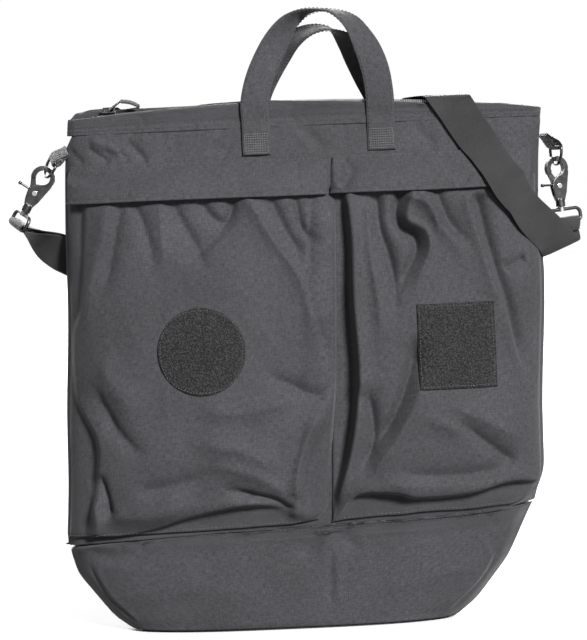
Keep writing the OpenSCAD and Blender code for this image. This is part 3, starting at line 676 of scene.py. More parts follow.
BASE_FOLDS = [
    # gathers that run down from the tack between the pockets
    ([(20, 103), (1, 82), (-9, 70)], -2.6, 3, 5, (0.05, 0.5), 1.8),
    ([(21, 101), (17, 84), (15, 60)], 2.2, 4, 3, (0.05, 0.6), 1.6),
    ([(25, 102), (37, 94), (57, 69)], -2.6, 3, 5, (0.05, 0.5), 1.8),
    ([(22, 88), (22, 50), (20, 12)], -1.6, 3, 3, (0.3, 0.3)),
    ([(28, 88), (29, 50), (27, 12)], 1.0, 3, 5, (0.3, 0.3)),
    # hollows under the left pocket's corner and small gathers along the seam
    ([(-228, 90), (-206, 80), (-180, 83)], -2.6, 7, 9, (0.3, 0.4)),
    ([(-222, 76), (-200, 68), (-170, 72)], 2.4, 8, 8, (0.3, 0.4)),
    ([(-185, 97), (-190, 77)], -1.8, 4, 4, (0.05, 0.6)),
    ([(-163, 97), (-169, 80)], -1.8, 3, 4, (0.05, 0.6)),
    ([(-133, 99), (-141, 80)], -1.6, 3, 4, (0.05, 0.6)),
    ([(155, 108), (149, 88)], -1.6, 4, 4, (0.05, 0.6)),
    ([(183, 110), (188, 90)], -1.8, 4, 4, (0.05, 0.6)),
    ([(-60, 100), (-64, 84)], -1.0, 3, 4, (0.05, 0.6)),
    ([(96, 106), (99, 92)], -1.0, 3, 4, (0.05, 0.6)),
    # long soft slack across the base
    ([(-190, 30), (-110, 42), (-20, 34)], 1.6, 12, 16, (0.3, 0.3)),
    ([(60, 36), (120, 44), (190, 60)], 1.6, 12, 14, (0.3, 0.3)),
]
# the folded corners, a doubled edge beside the slanting outline
BASE_CORNERS = [
    ([(-224, 74), (-206, 40), (-176, 8)], -1.8, 2.5, 2.5, (0.2, 0.15)),
    ([(-218, 74), (-200, 40), (-170, 8)], 1.2, 3, 3, (0.2, 0.15)),
    ([(196, 76), (176, 40), (140, 8)], -1.8, 2.5, 2.5, (0.2, 0.15)),
    ([(190, 76), (170, 40), (134, 8)], 1.2, 3, 3, (0.2, 0.15)),
]
bases = {}
for side, name in ((FRONT, "front"), (BACK, "back")):
    base = cloth_over(["base_wall"], side, 230, 64, foot=0.012, head=0.9, smooth=(3, 6))
    x, z = base.p[..., X], base.p[..., Z]
    rows = BASE_CORNERS + (BASE_FOLDS if side == FRONT else BASE_FOLDS[5:])
    held = edges_held(base, 0.02, 0.05, 0)
    base.push(held * (creases(base, rows) + 0.9 * mm * crumple(x, z, 0.06, 50 + side, 10, 2.2)))
    base.push(puckers(base, 1.0, 52 + side, 0.6, 8, 12) * ramp(base.share()[1], 0, 0.1))
    closed(base, 15 * mm)
    bases[side] = base
    sewn_on(cloth_piece("base_wall_" + name, base, SHELL_THICK), "base_wall")
    stitches("base_seam_" + name, [sewn(base, [(0.01, 0.965), (0.99, 0.965)])], "bag")

low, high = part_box("base_floor")
outline_co, outline_tri = cad_mesh("base_floor")
outline_edges = edges_of(outline_tri)
rows = []
for x_place in low.x + (high.x - low.x) * (0.001 + 0.998 * columns(90, 1.0)):
    y0, y1 = cut(outline_co, outline_edges, X, x_place, Y)
    rows.append([(x_place, y0 + (y1 - y0) * k, 0.0) for k in columns(40, 0.6)])
floor = np.array(rows)
dip = 0.5 * mm * (1 + noise(floor[..., X] / 0.05, floor[..., Y] / 0.03, 61))
rim = np.minimum(np.abs(floor[..., Y] - floor[:, :1, Y]),
                 np.abs(floor[..., Y] - floor[:, -1:, Y]))
floor[..., Z] = dip * ramp(rim, 0, 0.012)
top = floor + [0, 0, 1]
top[..., Z] = floor[..., Z] + 1.5 * mm
sewn_on(sheet_piece("base_floor_cloth", floor, top), "base_floor")

HEM_STITCH = (0.10, 0.34)       # the two rows near the hem's lower edge
for side, name in ((FRONT, "front"), (BACK, "back")):
    hem = cloth_over(["rim_hem_" + name], side, 260, 22, smooth=(1, 6))
    x, z = hem.p[..., X], hem.p[..., Z]
    u, v = hem.share()
    roll = -1.3 * mm * ramp(v, 0.82, 1) ** 2
    rows = -0.55 * mm * sum(np.exp(-((v - row) / 0.05) ** 2) for row in HEM_STITCH)
    slack = edges_held(hem, 0.03, 0, 0) * 0.8 * mm * noise(x / 0.045, z / 0.05, 71 + side)
    pulls = 0.5 * mm * noise(x / 0.008, z / 0.03, 73 + side) * np.exp(-v / 0.4)
    hem.push(roll + rows + slack + pulls)
    if side == FRONT:
        hem.push(creases(hem, [
            ([(-152, 524), (-146, 514), (-144, 508)], -1.4, 4, 3, (0.2, 0.4)),
            ([(-112, 526), (-108, 516), (-110, 508)], -1.2, 4, 3, (0.2, 0.4)),
            ([(2, 530), (6, 516), (4, 505)], -1.2, 3, 5, (0.2, 0.2)),
            ([(128, 527), (134, 516), (140, 505)], -1.4, 4, 6, (0.2, 0.2))]))
    closed(hem, 8 * mm)
    sewn_on(cloth_piece("hem_" + name, hem, HEM_THICK), "rim_hem_" + name)
    stitches("hem_stitches_" + name, [sewn(hem, [(0.01, row), (0.99, row)], 400)
                                      for row in HEM_STITCH], "bag")


# ---- pockets ----
shells = [front, bases[FRONT]]
shell_faces = [grid_faces(*front.p.shape[:2]),
               grid_faces(*bases[FRONT].p.shape[:2], front.p[..., 0].size)]
panel_tree = tree_of(np.vstack([cloth.p.reshape(-1, 3) for cloth in shells]),
                     np.vstack(shell_faces))


def beyond(cloth, line, left_side=False):
    """How far each place lies past a line of (x, z) places, run from the top down; to its
    right, or to its left if left_side. In metres, negative on the near side."""
    run = spline(np.array(line, float) * mm, 6)[::-1]
    edge = np.interp(cloth.p[..., Z], run[:, 1], run[:, 0])
    return (edge - cloth.p[..., X]) if left_side else (cloth.p[..., X] - edge)


def set_back(cloth, amount, share):
    """Brings places back towards the panel, to "amount" off it where share is 1."""
    x, z = cloth.p[..., X], cloth.p[..., Z]
    floor_y = facing(panel_tree, x, z, FRONT) - amount
    cloth.p[..., Y] += share * (np.maximum(floor_y, cloth.p[..., Y]) - cloth.p[..., Y])


def lip(cloth, line, amount=3.5 * mm):
    """Everything under the line is the set-back bottom gusset that the pocket overhangs."""
    run = spline(np.array(line, float) * mm, 6)
    height = cloth.p[..., Z] - np.interp(cloth.p[..., X], run[:, 0], run[:, 1])
    set_back(cloth, amount, 1 - ramp(height, -2.4 * mm, 0.6 * mm))
    # the edge itself rolls in a little and stands proud above that
    roll = np.exp(-((height - 5 * mm) / (7 * mm)) ** 2)
    cloth.p[..., Y] -= 1.6 * mm * roll


LEFT_LIP = [(-236, 99), (-208, 99), (-157, 107), (-117, 119), (-67, 128), (-29, 126),
            (-7, 112), (22, 108)]
RIGHT_LIP = [(22, 107), (33, 116), (44, 130), (60, 136), (92, 134), (111, 129), (162, 131),
             (205, 140), (240, 137)]
# where each pocket's front turns back into its side gussets, from the top down
LEFT_INNER = [(-52, 450), (-40, 424), (-22, 392), (-1, 359), (11, 326), (19, 290), (24, 250),
              (23, 226), (7, 194), (-5, 160), (-8, 133), (-2, 118), (14, 106)]
LEFT_OUTER = [(-205, 450), (-209, 406), (-215, 336), (-225, 299), (-223, 239), (-205, 198),
              (-206, 162), (-212, 129), (-220, 94)]
RIGHT_INNER = [(52, 450), (56, 387), (55, 327), (57, 247), (46, 177), (25, 108)]
LEFT_FOLDS = [
    # the sharp fold where the pocket's front meets the flat strip beside the valley
    ([(16, 446), (16, 424), (13, 366), (10, 339), (17, 299), (25, 258), (25, 232)],
     -1.1, 4, 1.4, (0.02, 0.2)),
    ([(-52, 440), (-40, 424), (-22, 392), (-1, 359), (11, 326), (19, 290)],
     2.4, 5, 7, (0.1, 0.3)),
    ([(-92, 438), (-84, 420), (-70, 411), (-62, 420), (-58, 438)], -2.2, 4, 6, (0.1, 0.1)),
    ([(-123, 440), (-110, 411), (-96, 384), (-86, 352)], -1.8, 5, 9, (0.05, 0.5)),
    ([(-60, 440), (-67, 411), (-90, 386), (-118, 362)], -1.9, 5, 8, (0.05, 0.5)),
    ([(-161, 440), (-146, 401), (-141, 355)], -2.0, 6, 9, (0.05, 0.5)),
    ([(-132, 440), (-131, 398), (-130, 350)], 1.7, 6, 7, (0.05, 0.5)),
    ([(-182, 442), (-190, 405), (-206, 350), (-210, 290)], 2.6, 9, 12, (0.05, 0.4)),
    ([(-170, 440), (-182, 390), (-196, 330)], -2.0, 7, 9, (0.05, 0.4)),
    ([(-24, 436), (-8, 400), (10, 372)], -2.6, 6, 8, (0.1, 0.3)),
    ([(2, 440), (8, 404), (24, 380)], -2.2, 4, 5, (0.1, 0.3)),
    ([(-209, 262), (-196, 226), (-176, 196), (-150, 180)], -3.2, 8, 14, (0.3, 0.4)),
    ([(-200, 290), (-184, 250), (-160, 222)], 2.2, 14, 12, (0.3, 0.4)),
    ([(-110, 226), (-56, 222), (4, 236)], 2.2, 14, 10, (0.3, 0.2)),
    ([(-120, 196), (-62, 184), (-16, 158)], 3.0, 16, 12, (0.3, 0.3)),
    ([(-40, 262), (-8, 246), (20, 232)], -2.4, 8, 7, (0.4, 0.1)),
    ([(-88, 150), (-52, 139), (-30, 132), (-12, 118)], -3.6, 4, 7, (0.3, 0.1)),
    ([(-96, 172), (-50, 160), (-18, 138)], 2.4, 9, 9, (0.3, 0.2)),
    ([(-176, 146), (-130, 152), (-84, 168)], -2.4, 9, 12, (0.3, 0.4)),
    ([(-200, 122), (-150, 124), (-104, 138)], 2.2, 9, 9, (0.2, 0.4)),
    ([(-222, 172), (-213, 145), (-207, 118), (-214, 98)], 3.4, 5, 6, (0.3, 0.1)),
    ([(-206, 168), (-200, 145), (-196, 116)], -3.0, 4, 7, (0.3, 0.2)),
    ([(14, 222), (2, 192), (-8, 160), (-11, 134)], 2.8, 7, 4, (0.2, 0.1)),
]
RIGHT_FOLDS = [
    ([(109, 440), (101, 416), (104, 398), (118, 388), (119, 372), (107, 350), (100, 320)],
     -5.4, 7, 3.6, (0.05, 0.4)),
    ([(122, 440), (113, 414), (115, 404), (130, 394), (133, 374), (120, 346), (112, 318)],
     3.2, 4, 5, (0.05, 0.4)),
    ([(110, 430), (121, 426), (136, 418), (141, 402), (138, 386)], 2.4, 3, 4, (0.2, 0.4)),
    ([(127, 440), (133, 418), (143, 400), (162, 376), (170, 340)], 2.6, 6, 8, (0.05, 0.5)),
    ([(141, 440), (148, 416), (158, 396), (180, 372)], -2.6, 6, 6, (0.05, 0.4)),
    ([(182, 430), (187, 406), (198, 360), (215, 302), (233, 227)], -4.0, 7, 5, (0.1, 0.2)),
    ([(170, 430), (177, 402), (189, 356), (206, 298), (226, 222)], 2.4, 5, 7, (0.1, 0.2)),
    ([(57, 448), (61, 387), (60, 327), (62, 247), (51, 180), (30, 118)],
     4.8, 5, 13, (0.01, 0.1)),
    ([(82, 436), (84, 400), (92, 372), (97, 340), (96, 292)], -3.4, 6, 7, (0.05, 0.4)),
    ([(74, 430), (74, 380), (80, 330), (82, 280)], 2.2, 6, 6, (0.1, 0.4)),
    ([(114, 296), (110, 262), (96, 222), (70, 178)], -3.8, 9, 6, (0.3, 0.2)),
    ([(124, 262), (112, 222), (84, 178), (60, 150)], 2.8, 8, 9, (0.3, 0.3)),
    ([(60, 248), (68, 214), (67, 184), (50, 150)], -3.8, 8, 8, (0.2, 0.3)),
    ([(150, 206), (184, 180), (216, 156)], -3.0, 6, 9, (0.3, 0.2)),
    ([(140, 222), (180, 204), (222, 176)], 2.0, 10, 8, (0.3, 0.3)),
    ([(206, 352), (230, 362)], -2.2, 4, 5, (0.3, 0.1)),
    ([(112, 214), (157, 193), (200, 166)], 1.8, 8, 8, (0.3, 0.4)),
    ([(84, 158), (130, 150), (180, 152), (226, 158)], -2.0, 8, 10, (0.3, 0.3)),
    ([(70, 146), (120, 142), (170, 143)], 1.6, 6, 6, (0.3, 0.3)),
]


RIDGES, VALLEYS = 1.9, 2.7       # how much deeper the pockets' folds are than drawn above


def pocket(name, folds, lip_line, seed):
    """A bellows pocket: its folded front, its set-back gussets and its foot."""
    cloth = cloth_over(["pocket_" + name], FRONT, 200, 250, 0.06, 0.96, (6, 5), 0.35)
    x, z = cloth.p[..., X], cloth.p[..., Z]
    held = edges_held(cloth, 0.035, 0, 0.07)
    soft = (1.7 * mm * crumple(x, z, 0.062, seed, 60, 1.9)
            + 0.55 * mm * crumple(x, z, 0.026, seed + 5, 75, 2.2)
            + 0.16 * mm * crumple(x, z, 0.010, seed + 9, 20, 1.4))
    cloth.push(held * (creases(cloth, folds, RIDGES, VALLEYS) + soft))
    if name == "left":
        low_down = 1 - ramp(z, 0.2, 0.32)
        inner = ramp(beyond(cloth, LEFT_INNER), -1 * mm, 12 * mm)
        set_back(cloth, (9 - 5 * low_down) * mm, 0.75 * inner * low_down)
        set_back(cloth, 2.6 * mm, 0.9 * ramp(beyond(cloth, LEFT_OUTER, True), -1 * mm, 5 * mm))
        # the strip overhangs the valley and then turns straight back to the panel
        u = cloth.share()[0]
        upper = ramp(z, 0.13, 0.26)
        below_flap = 1 - ramp(z, 0.405, 0.432)
        cloth.p[..., X] += 9 * mm * upper * ramp(u, 0.88, 0.985)
        cloth.p[..., Y] -= 7 * mm * upper * below_flap * ramp(u, 0.84, 0.95)
        set_back(cloth, 2.4 * mm, upper * ramp(u, 0.985, 0.999))
    else:
        set_back(cloth, 2.4 * mm, ramp(beyond(cloth, RIGHT_INNER, True), -1 * mm, 7 * mm))
    lip(cloth, lip_line)
    # the side edges are sewn down to the shell
    u = cloth.share()[0]
    set_back(cloth, 1.5 * mm, 1 - ramp(np.minimum(u, 1 - u), 0.002, 0.016))
    cloth.p[..., Y] = blur(cloth.p[..., Y], 0.8, 0.8)
    # never into the panel behind
    limit = facing(panel_tree, x, z, FRONT) - PANEL_CLEAR
    cloth.p[..., Y] = np.minimum(cloth.p[..., Y], limit)
    seam = puckers(cloth, 0.0, seed + 8, 0.5, 6, 6)
    cloth.push(seam * ramp(cloth.share()[1], 0, 0.01))
    sewn_on(cloth_piece("pocket_cloth_" + name, cloth, POCKET_THICK), "pocket_" + name)
    return cloth


left_pocket = pocket("left", LEFT_FOLDS, LEFT_LIP, 101)
right_pocket = pocket("right", RIGHT_FOLDS, RIGHT_LIP, 131)
stitches("pocket_foot_stitches", [
    sewn(left_pocket, [(0.02, 0.008), (0.98, 0.008)]),
    sewn(right_pocket, [(0.02, 0.008), (0.98, 0.008)])], "bag")


# ---- loop patches, following the pockets' folds ----
PATCH_SEAM = 0.935              # the stitch line, as a share of the patch's half size


def patch(name, cloth, shape, thick=1.5 * mm, count=61):
    """A pile patch over "cloth"; "shape" turns the square -1 to 1 into its outline."""
    low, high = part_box(name)
    cx, cz = (low.x + high.x) / 2, (low.z + high.z) / 2
    half_x, half_z = (high.x - low.x) / 2, (high.z - low.z) / 2
    u, v = np.meshgrid(np.linspace(-1, 1, count), np.linspace(-1, 1, count))
    su, sv = shape(u, v)
    x, z = cx + half_x * su, cz + half_z * sv
    under = blur(facing(cloth.tree(), x, z, FRONT), 2.5, 2.5)
    skin = Cloth(np.stack([x, under, z], axis=2), FRONT)
    skin.push(np.full_like(x, 0.25 * mm))
    edge = 1 - np.maximum(np.abs(u), np.abs(v))
    rise = thick * (0.55 + 0.45 * ramp(edge, 0, 0.06)) - 0.5 * mm * np.exp(
        -((edge - 0.065) / 0.02) ** 2)
    rough = 0.22 * mm * np.random.default_rng(7).uniform(-1, 1, u.shape) * ramp(edge, 0.03, 0.1)
    outer = Cloth(skin.p + skin.normals() * (rise + rough)[..., None], FRONT)
    piece = sheet_piece(name + "_pile", outer.p, skin.p)
    dress(piece, PILE, "loop_pile", "bag", name)
    k = 0.5 - 0.5 * PATCH_SEAM
    corners = [(k, k), (1 - k, k), (1 - k, 1 - k), (k, 1 - k), (k, k)]
    stitches(name + "_stitches", [sewn(outer, corners, 500)], "bag", long=2.2 * mm,
             gap=0.9 * mm)


def round_shape(u, v):
    """The square -1 to 1 drawn into a disc."""
    return u * np.sqrt(1 - v * v / 2), v * np.sqrt(1 - u * u / 2)


patch("patch_round", left_pocket, round_shape)
patch("patch_square", right_pocket, lambda u, v: (u, v))


# ---- flaps ----
def flap(name, nodes, seed, reach, seam, folds):
    """A pocket flap. Reach is how far its left and right ends run on, in mm, and seam is
    the stretches of its width that show the upper stitch row."""
    cloth = cloth_over(nodes, FRONT, 210, 46, smooth=(2, 6), crowd=0.3)
    x, z = cloth.p[..., X], cloth.p[..., Z]
    u, v = cloth.share()
    cloth.p[..., X] += (reach[1] * ramp(u, 0.9, 1) - reach[0] * ramp(1 - u, 0.9, 1)) * mm
    wave = noise(x / 0.07, z * 0, seed) * (1 - v) * 1.2 * mm
    cloth.p[..., Z] += wave
    held = edges_held(cloth, 0.02, 0, 0.12)
    cloth.push(held * (creases(cloth, folds) + 0.8 * mm * crumple(x, z, 0.05, seed, 15, 2.2)))
    edge = np.exp(-((v - 0.035) / 0.03) ** 2)
    cloth.push(0.7 * mm * edge - 0.5 * mm * np.exp(-((v - 0.945) / 0.02) ** 2))
    cloth.push(puckers(cloth, 0.945, seed + 3, 0.45, 6, 5))
    piece = dress(cloth_piece(name, cloth, FLAP_THICK), NYLON, "shell_nylon", None, *nodes)
    row = [sewn(cloth, [(s0, 0.945), (s1, 0.945)]) for s0, s1 in seam]
    return cloth, piece, row


left_flap, left_piece, left_row = flap("flap_cloth_left", ["flap_left"], 151, (1, 4),
                                        [(0.01, 0.6), (0.8, 0.99)], [
    ([(8, 470), (5, 455), (9, 438)], -1.0, 3, 4, (0.1, 0.1)),
    ([(-226, 466), (-205, 462), (-180, 466)], -2.0, 4, 5, (0.1, 0.4)),
    ([(-232, 456), (-214, 452), (-196, 455)], 1.4, 4, 4, (0.1, 0.4)),
    ([(-60, 470), (-52, 452), (-54, 440)], -0.7, 6, 6, (0.2, 0.2))])
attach(left_piece, "left_flap")
stitches("flap_stitches_left", left_row + [sewn(left_flap, [(0.955, 0.06), (0.955, 0.9)], 40)],
         "left_flap")
_, right_piece, right_row = flap(
    "flap_cloth_right", ["flap_right", "flap_right_end"], 161, (1, -6), [(0.01, 0.99)], [
        ([(52, 471), (60, 456), (48, 437)], -1.8, 4, 5, (0.1, 0.1)),
        ([(44, 470), (42, 452), (44, 438)], 1.2, 4, 4, (0.1, 0.1)),
        ([(150, 472), (160, 456), (176, 440)], -1.8, 7, 9, (0.1, 0.1)),
        ([(136, 470), (146, 454), (160, 438)], 1.2, 7, 7, (0.1, 0.1))])
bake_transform(right_piece)
right_seam = stitches("flap_stitches_right", right_row, None)
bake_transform(right_seam)


# ---- ribbons: webbing and handle fabric along the CAD ribbons' own runs ----
def sections(name, start):
    """Centres and cross lines of a CAD ribbon's sections, from the end nearest "start".
    Its end sections are where the mesh's vertices have fewer than six neighbours."""
    co, tri = cad_mesh(name)
    edges = edges_of(tri)
    near = [[] for _ in co]
    for a, b in edges:
        near[a].append(b)
        near[b].append(a)
    ends = np.array([k for k, others in enumerate(near) if len(others) < 6])
    first = ends[np.argsort(np.linalg.norm(co[ends] - np.array(start), axis=1))[:4]]
    layers, seen = [list(first)], set(first)
    while True:
        layer = sorted({n for k in layers[-1] for n in near[k]} - seen)
        if not layer:
            break
        layers.append(layer)
        seen.update(layer)
    centres, across = [], []
    for layer in layers:
        four = co[layer]
        apart = np.linalg.norm(four - four[0], axis=1)
        mate = 1 + int(np.argmin(apart[1:])) if len(layer) > 1 else 0
        others = [k for k in range(len(layer)) if k not in (0, mate)]
        one, two = four[[0, mate]].mean(axis=0), four[others].mean(axis=0)
        line = two - one
        if across and line @ across[-1] < 0:
            line = -line
        centres.append((one + two) / 2)
        across.append(line)
    return np.array(centres), np.array(across)


def ribbon(name, centres, across, thick, per_step=3, cols=11, edge=0.35, lift=None):
    """A closed ribbon with rounded edges. Returns the piece, its run and its normals."""
    mid, line = spline(centres, per_step), spline(across, per_step)
    along = np.gradient(mid, axis=0)
    along /= np.linalg.norm(along, axis=1, keepdims=True)
    out = np.cross(along, line)
    out /= np.linalg.norm(out, axis=1, keepdims=True)
    w = 0.5 * np.sin(np.linspace(-0.5, 0.5, cols) * np.pi)
    half = thick / 2 * (edge + (1 - edge) * np.sqrt(np.clip(1 - np.abs(2 * w) ** 5, 0, 1)))
    place = mid[:, None] + w[None, :, None] * line[:, None]
    extra = np.zeros(place.shape[:2]) if lift is None else lift(place, w)
    outer = place + out[:, None] * (half[None] + extra)[..., None]
    inner = place - out[:, None] * (half[None] - extra)[..., None]
    return sheet_piece(name, inner, outer), mid, line, out


def edge_rows(mid, line, out, thick, inset, faces=(1, -1)):
    """Runs for stitches along both edges and on the given faces of a ribbon."""
    width = np.linalg.norm(line, axis=1, keepdims=True)
    return [(mid + side * line * (0.5 - inset / width) + face * out * thick / 2, face * out)
            for side in (-1, 1) for face in faces]


HANDLE_THICK = 2.4 * mm
for side, name in ((FRONT, "front"), (BACK, "back")):
    tabs = "handle_" + name + "_tabs"
    tab_co, tab_tri = cad_mesh(tabs)
    tab_tree = tree_of(tab_co, tab_tri)
    low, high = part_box(tabs)
    tab_w = (high.x - low.x) - (tab_co[tab_co[:, X] > (low.x + high.x) / 2][:, X].min() - low.x)
    loop_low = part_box("handle_" + name)[0]
    mids, lines = sections("handle_" + name, (low.x + tab_w / 2, side * 0.02, loop_low.z))
    levels = np.linspace(low.z, high.z - 1 * mm, 7)
    ends = []
    for x_mid in (low.x + tab_w / 2, high.x - tab_w / 2):
        face = facing(tab_tree, np.full_like(levels, x_mid), levels, side)
        ends.append(np.stack([np.full_like(levels, x_mid), face - side * HANDLE_THICK / 2,
                              levels], axis=1))
    tab_line = np.tile([(tab_w, 0, 0)], (len(levels), 1))
    sign = 1 if lines[0][0] > 0 else -1
    centres = np.vstack([ends[0], mids, ends[1][::-1]])
    last = 1 if lines[-1][0] > 0 else -1
    across = np.vstack([sign * tab_line, lines, last * tab_line])

    def folds_in(place, w):
        """A lengthwise fold line of the doubled fabric, and a little slack."""
        run = np.arange(place.shape[0])[:, None] / 9.0
        return (-0.45 * mm * np.exp(-((w[None] - 0.18) / 0.035) ** 2)
                + 0.5 * mm * noise(run, w[None] * 3, 171))

    piece, mid, line, out = ribbon("handle_cloth_" + name, centres, across, HANDLE_THICK, 4, 15,
                                   lift=folds_in)
    dress(piece, NYLON, "shell_nylon", None, "handle_" + name, tabs)
    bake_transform(piece)
    rows = edge_rows(mid, line, out, HANDLE_THICK + 0.2 * mm, 2.2 * mm)
    seam = stitches("handle_stitches_" + name, rows, None, gap=1.1 * mm)
    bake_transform(seam)
    # sewn down with a filled box of stitches
    boxes = []
    for end in ends:
        inset = 2.4 * mm
        x0, x1 = end[0, X] - tab_w / 2 + inset, end[0, X] + tab_w / 2 - inset
        z0, z1 = low.z + 2 * mm, low.z + 21 * mm
        for share in np.linspace(0, 1, 9):
            zs = np.full(20, z0 + share * (z1 - z0))
            xs = np.linspace(x0, x1, 20)
            ys = np.interp(zs, end[:, Z], end[:, Y]) + side * (HANDLE_THICK / 2 + 0.15 * mm)
            boxes.append((np.stack([xs, ys, zs], axis=1), np.tile([(0, side, 0)], (20, 1))))
        for x_edge in (x0, x1):
            zs = np.linspace(z0, z1, 20)
            ys = np.interp(zs, end[:, Z], end[:, Y]) + side * (HANDLE_THICK / 2 + 0.15 * mm)
            boxes.append((np.stack([np.full(20, x_edge), ys, zs], axis=1),
                          np.tile([(0, side, 0)], (20, 1))))
    stitches("tab_stitches_" + name, boxes, "bag", THREAD_PALE, long=1.5 * mm, gap=0.8 * mm,
             thread=0.38 * mm)

STRAP_THICK = 1.7 * mm
hook_pin = next(j for j in frame["joints"] if j["name"] == "right_loop_tilt")["pos_m"]
strap_start = (hook_pin[0], hook_pin[1] - 5 * mm, hook_pin[2] - 12 * mm)
mids, lines = sections("shoulder_strap", strap_start)
strap, mid, line, out = ribbon("strap_webbing", mids, lines, STRAP_THICK, 3, 13)
dress(strap, WEBBING, "webbing", "bag", "shoulder_strap")


def ring_tab(side_name, share):
    """Webbing from the side seam, round the ring's bar and back to the seam."""
    name = "ring_tab_" + side_name
    swing = next(j for j in frame["joints"] if j["name"] == side_name + "_ring_swing")
    bar, axis = np.array(swing["pos_m"]), np.array(swing["axis"])
    axis = axis / np.linalg.norm(axis)
    co, _ = cad_mesh(name)
    away = co - bar
    away -= np.outer(away @ axis, axis)
    far = away[np.linalg.norm(away, axis=1) > 0.92 * np.linalg.norm(away, axis=1).max()]
    reach = far.mean(axis=0)
    long = np.linalg.norm(reach)
    ahead = reach / long
    beside = np.cross(axis, ahead)
    width = np.ptp(co @ axis)
    radius = 2.7 * mm
    run = [bar + ahead * long * k + beside * radius * ramp(1 - k, 0, 0.9) + beside * 0.9 * mm
           for k in (1.05, 0.8, 0.6, 0.4, 0.2)]
    run += [bar + radius * (math.sin(a) * -ahead + math.cos(a) * beside)
            for a in np.linspace(0, math.pi, 7)]
    run += [bar + ahead * long * k - beside * radius * ramp(1 - k, 0, 0.9) - beside * 0.9 * mm
            for k in (0.2, 0.4, 0.6, 0.8, 1.05)]
    run = np.array(run)
    piece, mid, line, out = ribbon(name + "_webbing", run, np.tile(axis * width, (len(run), 1)),
                                   1.5 * mm, 4, 11)
    dress(piece, TAB_WEBBING, "webbing", "bag", name)
    across = np.array([bar + ahead * long * share + s * axis * (width / 2 - 2 * mm)
                       for s in np.linspace(-1, 1, 14)])
    rows = [(across + f * beside * 3.6 * mm, np.tile(f * beside, (14, 1)))
            for f in (-1, 1)]
    stitches(name + "_stitches", rows, "bag")


ring_tab("left", 0.55)
ring_tab("right", 0.6)


# ---- lining ----
for side, name in ((FRONT, "front"), (BACK, "back")):
    cloth = cloth_over(["lining_" + name], side, 110, 110, foot=0.01, head=0.95, smooth=(3, 5))
    cloth.p[..., X] *= LINING_WIDTH
    x, z = cloth.p[..., X], cloth.p[..., Z]
    cloth.push(-2.6 * mm + 0.5 * mm * crumple(x, z, 0.06, 181 + side, 60, 1.6))
    closed(cloth, SIDE_ROUND)
    dress(cloth_piece("lining_cloth_" + name, cloth, LINING_THICK), LINING, "lining_nylon",
          "bag", "lining_" + name)


# ---- zip ----
def zip_side(side, name):
    """One tape, hanging from the chain to its sewn foot, and the teeth on its edge."""
    teeth_co, teeth_tri = cad_mesh("zip_teeth_" + name)
    teeth_edges = edges_of(teeth_tri)
    tape_co, tape_tri = cad_mesh("zip_tape_" + name)
    tape_edges = edges_of(tape_tri)
    x0, x1 = tape_co[:, X].min() + 0.3 * mm, tape_co[:, X].max() - 0.3 * mm
    xs = np.linspace(x0, x1, 220)
    teeth_ends = teeth_co[:, X].min() + 1e-4, teeth_co[:, X].max() - 1e-4
    chain_z, chain_y, foot_z, knee_y = [], [], [], []
    for x_place in xs:
        x_teeth = np.clip(x_place, *teeth_ends)
        z_range = cut(teeth_co, teeth_edges, X, x_teeth, Z)
        y_range = cut(teeth_co, teeth_edges, X, x_teeth, Y)
        chain_z.append(sum(z_range) / 2)
        chain_y.append(y_range[0] if side < 0 else y_range[1])
        low_z, _ = cut(tape_co, tape_edges, X, x_place, Z)
        wide = cut(tape_co, tape_edges, X, x_place, Y)
        foot_z.append(low_z)
        knee_y.append(wide[0] if side < 0 else wide[1])
    chain_z, chain_y, foot_z, knee_y = map(np.array, (chain_z, chain_y, foot_z, knee_y))
    t = np.linspace(0, 1, 14)[:, None]
    lower = chain_z - 1.2 * mm
    knee = np.sign(knee_y) * np.maximum(np.abs(chain_y) + 1 * mm, np.abs(knee_y) * 0.62)
    place_y = (1 - t) ** 2 * chain_y + 2 * t * (1 - t) * knee + t * t * knee_y
    place_z = (1 - t) ** 2 * chain_z + 2 * t * (1 - t) * lower + t * t * foot_z
    place_y += side * -0.4 * mm * t
    tape = np.stack([np.broadcast_to(xs, place_y.shape), place_y, place_z], axis=2)
    cloth = Cloth(tape[::-1], side)
    dress(cloth_piece("zip_tape_cloth_" + name, cloth, TAPE_THICK), TAPE, "zip_tape", "bag",
          "zip_tape_" + name)
    # the teeth, each a waisted block clamped on the tape's edge
    faces, places = [], []
    profile = np.array([(-0.5, 0.75), (0.1, 0.55), (0.55, 0.6), (0.95, 0.35)]) * mm
    for k, x_place in enumerate(np.arange(x0 + 2 * mm + (side > 0) * 1.05 * mm, x1 - 2 * mm,
                                          2.1 * mm)):
        y, z = np.interp(x_place, xs, chain_y), np.interp(x_place, xs, chain_z)
        base = 16 * k
        for depth, half_x in profile:
            y_at = y - side * depth
            half_z = (1.45 - 0.2 * (depth > 0.5 * mm)) * mm
            places += [(x_place + a * half_x, y_at, z + b * half_z)
                       for a, b in ((-1, -1), (1, -1), (1, 1), (-1, 1))]
        for step in range(3):
            for c in range(4):
                p, q = base + step * 4 + c, base + step * 4 + (c + 1) % 4
                faces.append([p, q, q + 4, p + 4])
        faces += [[base + c for c in (3, 2, 1, 0)], [base + 12 + c for c in range(4)]]
    piece = mesh_piece("zip_teeth_row_" + name, places, faces, shade_smooth=False)
    dress(piece, TEETH, "zip_teeth", "bag", "zip_teeth_" + name)


zip_side(FRONT, "front")
zip_side(BACK, "back")


